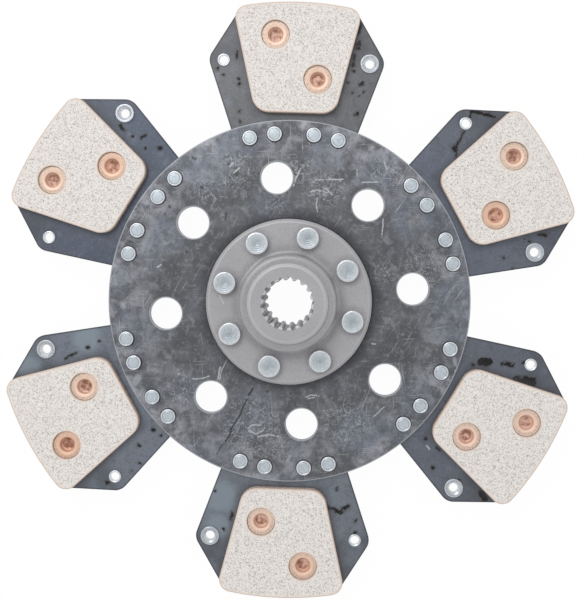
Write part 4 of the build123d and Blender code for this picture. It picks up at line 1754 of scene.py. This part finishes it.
@dataclass(frozen=True)
class PadRivets:
    """Copper rivets of a pad, countersunk behind the sheet and rolled over in the counterbore."""

    across: float = 11.25 * MM
    along: float = 11.3 * MM
    middle: float = 126.7 * MM
    shank_radius: float = 4.5 * MM
    sink_radius: float = 5.5 * MM
    bore_radius: float = 3.75 * MM
    roll_radius: float = 7.15 * MM
    floor: float = 0.8 * MM
    columns: int = 64

    def points(self) -> list[Point]:
        """The two rivets of paddle 1, on one diagonal of the pad."""
        return [(-self.across, self.middle + self.along), (self.across, self.middle - self.along)]

    def profile(self, seat: float) -> list[Corner]:
        """Section as (radius, height, rounding), from the middle of the closed end.

        Args:
            seat: height of the counterbore's floor.

        Returns:
            The corners up to the middle of the bore's floor.
        """
        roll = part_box("front_pad_rivets")[1].z
        sheet = HEIGHTS.sheet
        return [
            (0.0, 0.0, 0.0),
            (self.sink_radius, 0.0, 0.0),
            (self.shank_radius, sheet, 0.0),
            (self.shank_radius, seat, 0.0),
            (self.roll_radius - 0.15 * MM, seat, 0.1 * MM),
            (self.roll_radius, seat + 0.3 * MM, 0.2 * MM),
            (self.roll_radius - 0.05 * MM, roll - 0.15 * MM, 0.3 * MM),
            (self.roll_radius - 1.7 * MM, roll, 0.9 * MM),
            (self.bore_radius + 0.15 * MM, roll - 0.25 * MM, 0.55 * MM),
            (self.bore_radius - 0.25 * MM, self.floor + 0.25 * MM, 0.5 * MM),
            (self.bore_radius - 1.1 * MM, self.floor, 0.5 * MM),
            (0.0, self.floor + 0.12 * MM, 0.0),
        ]

    def build(self, side: Side, seat: float) -> None:
        """Makes a group.

        Args:
            side: the one that its pads are on.
            seat: height of the counterbore's floor.
        """
        draft = turned(rounded(self.profile(seat)), self.columns).row(around(self.points(), side))
        name, node = f"rivets_pad_{side.value}", f"{side.value}_pad_rivets"
        draft.piece(name, SoftCopper().material(), Slot.COPPER, node)


@dataclass(frozen=True)
class Sheets:
    """Spring-steel sheets, two to a paddle: a fan that widens to two ears and narrows to the tip."""

    ears: EarRivets = EarRivets()
    copper: PadRivets = PadRivets()
    rivets: PaddleRivets = PaddleRivets()
    heel_radius: float = 78.5 * MM
    side_lean: float = radians(19.5)
    shoulder_lean: float = radians(31.2)
    ear_radius: float = 7.4 * MM
    tip_fillet: float = 4 * MM
    edge: EdgeForm = EdgeForm(rounding=0.1 * MM, bands=(0.3 * MM, 1 * MM))

    def outline(self) -> list[Point]:
        """Outline of the front sheet of paddle 1, counter-clockwise."""
        ear = self.ears.point
        lower = StraightSide.beside(ear, self.side_lean, self.ear_radius)
        upper = StraightSide.beside(ear, -self.shoulder_lean, self.ear_radius)
        round_ear = Arc(ear, self.ear_radius, -lower.lean, -upper.lean)
        tip = upper.outer_corner(OUTER_RADIUS, self.tip_fillet)
        heel_x, heel_y = lower.at_radius(self.heel_radius)
        heel = atan2(heel_y, heel_x)
        return joined([
            round_ear,
            tip,
            Arc(AXIS, OUTER_RADIUS, tip.end, pi - tip.end),
            tip.mirrored(),
            round_ear.mirrored(),
            Arc(AXIS, self.heel_radius, pi - heel, heel),
        ])

    def draft(self) -> Draft:
        """Front sheet of paddle 1."""
        low, high = 0.0, HEIGHTS.sheet
        ear_x, ear_y = self.ears.point
        sink = [
            Station(self.copper.shank_radius - self.copper.sink_radius, low, OPEN_FACE),
            Station(0.0, high, OPEN_FACE),
        ]
        return flat_piece([
            self.edge.rim(self.outline(), low, high),
            *(plain_rim(hole(self.rivets.shank_radius, point), low, high)
              for point in self.rivets.rows.points()),
            *(plain_rim(hole(self.ears.shank_radius, (way * ear_x, ear_y)), low, high) for way in (-1, 1)),
            *(Rim(hole(self.copper.shank_radius, point), sink) for point in self.copper.points()),
        ])

    def build(self) -> None:
        """Makes the twelve sheets."""
        tones = [number / 10 for number in PADDLES]
        both_sides(self.draft(), "sheet", SpringSteel().material(), Slot.SHEET, tones)


@dataclass(frozen=True)
class Pads:
    """Sintered pads, one on each face of a paddle, with a counterbore for each copper rivet."""

    copper: PadRivets = PadRivets()
    foot: float = 97.8 * MM
    foot_half_width: float = 20.8 * MM
    side_lean: float = radians(13.5)
    foot_fillet: float = 9 * MM
    top_fillet: float = 6.5 * MM
    counterbore_radius: float = 7.3 * MM
    counterbore_depth: float = 2.2 * MM
    edge: EdgeForm = EdgeForm(rounding=0.45 * MM, bands=(0.4 * MM, 1.6 * MM))
    seat_edge: EdgeForm = EdgeForm(rounding=0.15 * MM, bands=())
    bore_edge: EdgeForm = EdgeForm(rounding=0.15 * MM, bands=(0.4 * MM, 1.6 * MM))

    def outline(self) -> list[Point]:
        """Outline of the front pad of paddle 1, counter-clockwise."""
        side = StraightSide.beside((self.foot_half_width, self.foot), self.side_lean)
        height = self.foot + self.foot_fillet
        reach = (side.offset - self.foot_fillet + height * sin(side.lean)) / cos(side.lean)
        corner = Arc((reach, height), self.foot_fillet, -pi / 2, -side.lean)
        top = side.outer_corner(OUTER_RADIUS, self.top_fillet)
        arch = Arc(AXIS, OUTER_RADIUS, top.end, pi - top.end)
        return joined([corner, top, arch, top.mirrored(), corner.mirrored()])

    @property
    def counterbore_floor(self) -> float:
        """Height of the seat under the copper roll."""
        return HEIGHTS.pad - self.counterbore_depth

    def counterbore(self) -> list[Station]:
        """Stations of a rivet's hole, from below, measured from the shank's radius."""
        widening = self.counterbore_radius - self.copper.shank_radius
        floor = self.counterbore_floor
        return [
            Station(0.0, HEIGHTS.sheet, DRILLED),
            Station(0.0, floor, DRILLED),
            Station(widening - 0.3 * MM, floor, DRILLED),
            Station(widening - 0.08 * MM, floor + 0.08 * MM, DRILLED),
            Station(widening, floor + 0.3 * MM, DRILLED),
            *self.bore_edge.upper(HEIGHTS.pad, widening),
        ]

    def draft(self) -> Draft:
        """Front pad of paddle 1."""
        outer = Rim(self.outline(), self.seat_edge.lower(HEIGHTS.sheet) + self.edge.upper(HEIGHTS.pad))
        section = self.counterbore()
        holes = [Rim(hole(self.copper.shank_radius, point), section) for point in self.copper.points()]
        return flat_piece([outer, *holes])

    def build(self) -> None:
        """Makes the twelve pads."""
        both_sides(self.draft(), "pad", SinteredMix().material(), Slot.PAD, spread(len(PADDLES)))


@dataclass(frozen=True)
class Studio:
    """White tent with one broad soft lamp, and a pale floor that the hub's back end stands on."""

    floor_height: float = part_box("hub")[0].z
    floor_size: float = 6.0
    floor_colour: str = "#f4f4f4"
    floor_glow: float = 0.97
    tent: float = 0.80
    lamp_place: Corner = (-0.45, 0.75, 1.1)
    lamp_size: float = 0.9
    lamp_power: float = 7.0

    def seen_directly(self, tree: Tree) -> Socket:
        """Tells the rays that show the floor from those that only light something.

        Args:
            tree: the floor's nodes.

        Returns:
            1 for a ray from the camera or one that a metal or glass surface sends on.
        """
        kinds = ("Is Camera Ray", "Is Glossy Ray", "Is Transmission Ray")
        camera, glossy, through = (add_node(tree, "LightPath", output=kind) for kind in kinds)
        either = add_node(tree, "Math", {0: camera, 1: glossy}, operation="MAXIMUM")
        return add_node(tree, "Math", {0: either, 1: through}, operation="MAXIMUM")

    def world(self) -> None:
        """White all round, dimmer as a light than it looks to the camera."""
        world = bpy.data.worlds.new("white_tent")
        world.use_nodes = True
        tree = world.node_tree
        camera = add_node(tree, "LightPath", output="Is Camera Ray")
        dimmed = {0: camera, 1: 1 - self.tent, 2: self.tent}
        strength = add_node(tree, "Math", dimmed, operation="MULTIPLY_ADD")
        background = tree.nodes["Background"]
        background.inputs["Color"].default_value = linear("#ffffff")
        tree.links.new(strength, background.inputs["Strength"])
        bpy.context.scene.world = world

    def floor(self) -> None:
        """Pale floor that looks white and still takes a faint shadow."""
        mesh = bpy.data.meshes.new("floor")
        half = self.floor_size / 2
        corners = [(-half, -half), (half, -half), (half, half), (-half, half)]
        mesh.from_pydata(raised(corners, self.floor_height), [], [(0, 1, 2, 3)])
        material = bpy.data.materials.new("floor_paper")
        material.use_nodes = True
        tree = material.node_tree
        tree.nodes.remove(tree.nodes["Principled BSDF"])
        paper = add_node(tree, "BsdfDiffuse", {"Color": linear(self.floor_colour)})
        glow = add_node(tree, "Emission", {"Color": linear("#ffffff"), "Strength": 1.0})
        seen = {0: self.seen_directly(tree), 1: self.floor_glow}
        share = add_node(tree, "Math", seen, operation="MULTIPLY")
        mixed = add_node(tree, "MixShader", {0: share, 1: paper, 2: glow})
        tree.links.new(mixed, tree.nodes["Material Output"].inputs["Surface"])
        mesh.materials.append(material)
        floor = show("floor", mesh)

    def lamp(self) -> None:
        """Broad lamp above the upper left, which points at the disc."""
        data = bpy.data.lights.new("soft_lamp", "AREA")
        data.shape = "DISK"
        data.size = self.lamp_size
        data.energy = self.lamp_power
        lamp = show("soft_lamp", data)
        lamp.location = self.lamp_place
        lamp.rotation_euler = (-Vector(self.lamp_place)).to_track_quat("-Z", "Y").to_euler()

    def build(self) -> None:
        """Makes the light and the floor."""
        self.world()
        self.floor()
        self.lamp()
        bpy.context.scene.view_settings.view_transform = "Standard"
        LOG.info("studio: floor at %.1f mm", self.floor_height / MM)


@dataclass(frozen=True)
class PhotoCamera:
    """Camera at the photograph's place, looking down on the front of the disc."""

    place: Corner = (21.20 * MM, 32.94 * MM, 469.33 * MM)
    turn: Corner = (radians(-0.939), radians(0.639), radians(1.772))
    focal_length: float = 896.44        # in pixels of the photograph
    frame_size: tuple[float, float] = (577.0, 600.0)
    centre: Point = (321.92, 253.91)    # where the lens looks straight on, in its pixels
    sensor: float = 36.0                # along the frame's height
    clip_start: float = 10 * MM

    def build(self) -> None:
        """Makes the camera and sets it as the scene's."""
        data = bpy.data.cameras.new("camera")
        width, height = self.frame_size
        data.sensor_fit = "VERTICAL"
        data.sensor_height = self.sensor
        data.lens = self.focal_length / height * self.sensor
        data.shift_x = (width / 2 - self.centre[0]) / height
        data.shift_y = (self.centre[1] - height / 2) / height
        data.clip_start = self.clip_start
        camera = show("camera", data)
        camera.location = self.place
        camera.rotation_euler = Euler(self.turn)
        bpy.context.scene.camera = camera
        LOG.info("camera: lens %.2f mm", data.lens)


def main() -> None:
    """Builds the disc from the hub outwards, then the studio and the camera."""
    logging.basicConfig(level=logging.INFO, format="%(name)s: %(message)s")
    Hub().build()
    HubRivets().build()
    DrivenPlate().build()
    PaddleRivets().build()
    Sheets().build()
    pads = Pads()
    pads.build()
    for side in Side:
        PadRivets().build(side, pads.counterbore_floor)
        EarRivets().build(side)
    Studio().build()
    PhotoCamera().build()


if __name__ == "__main__":
    main()
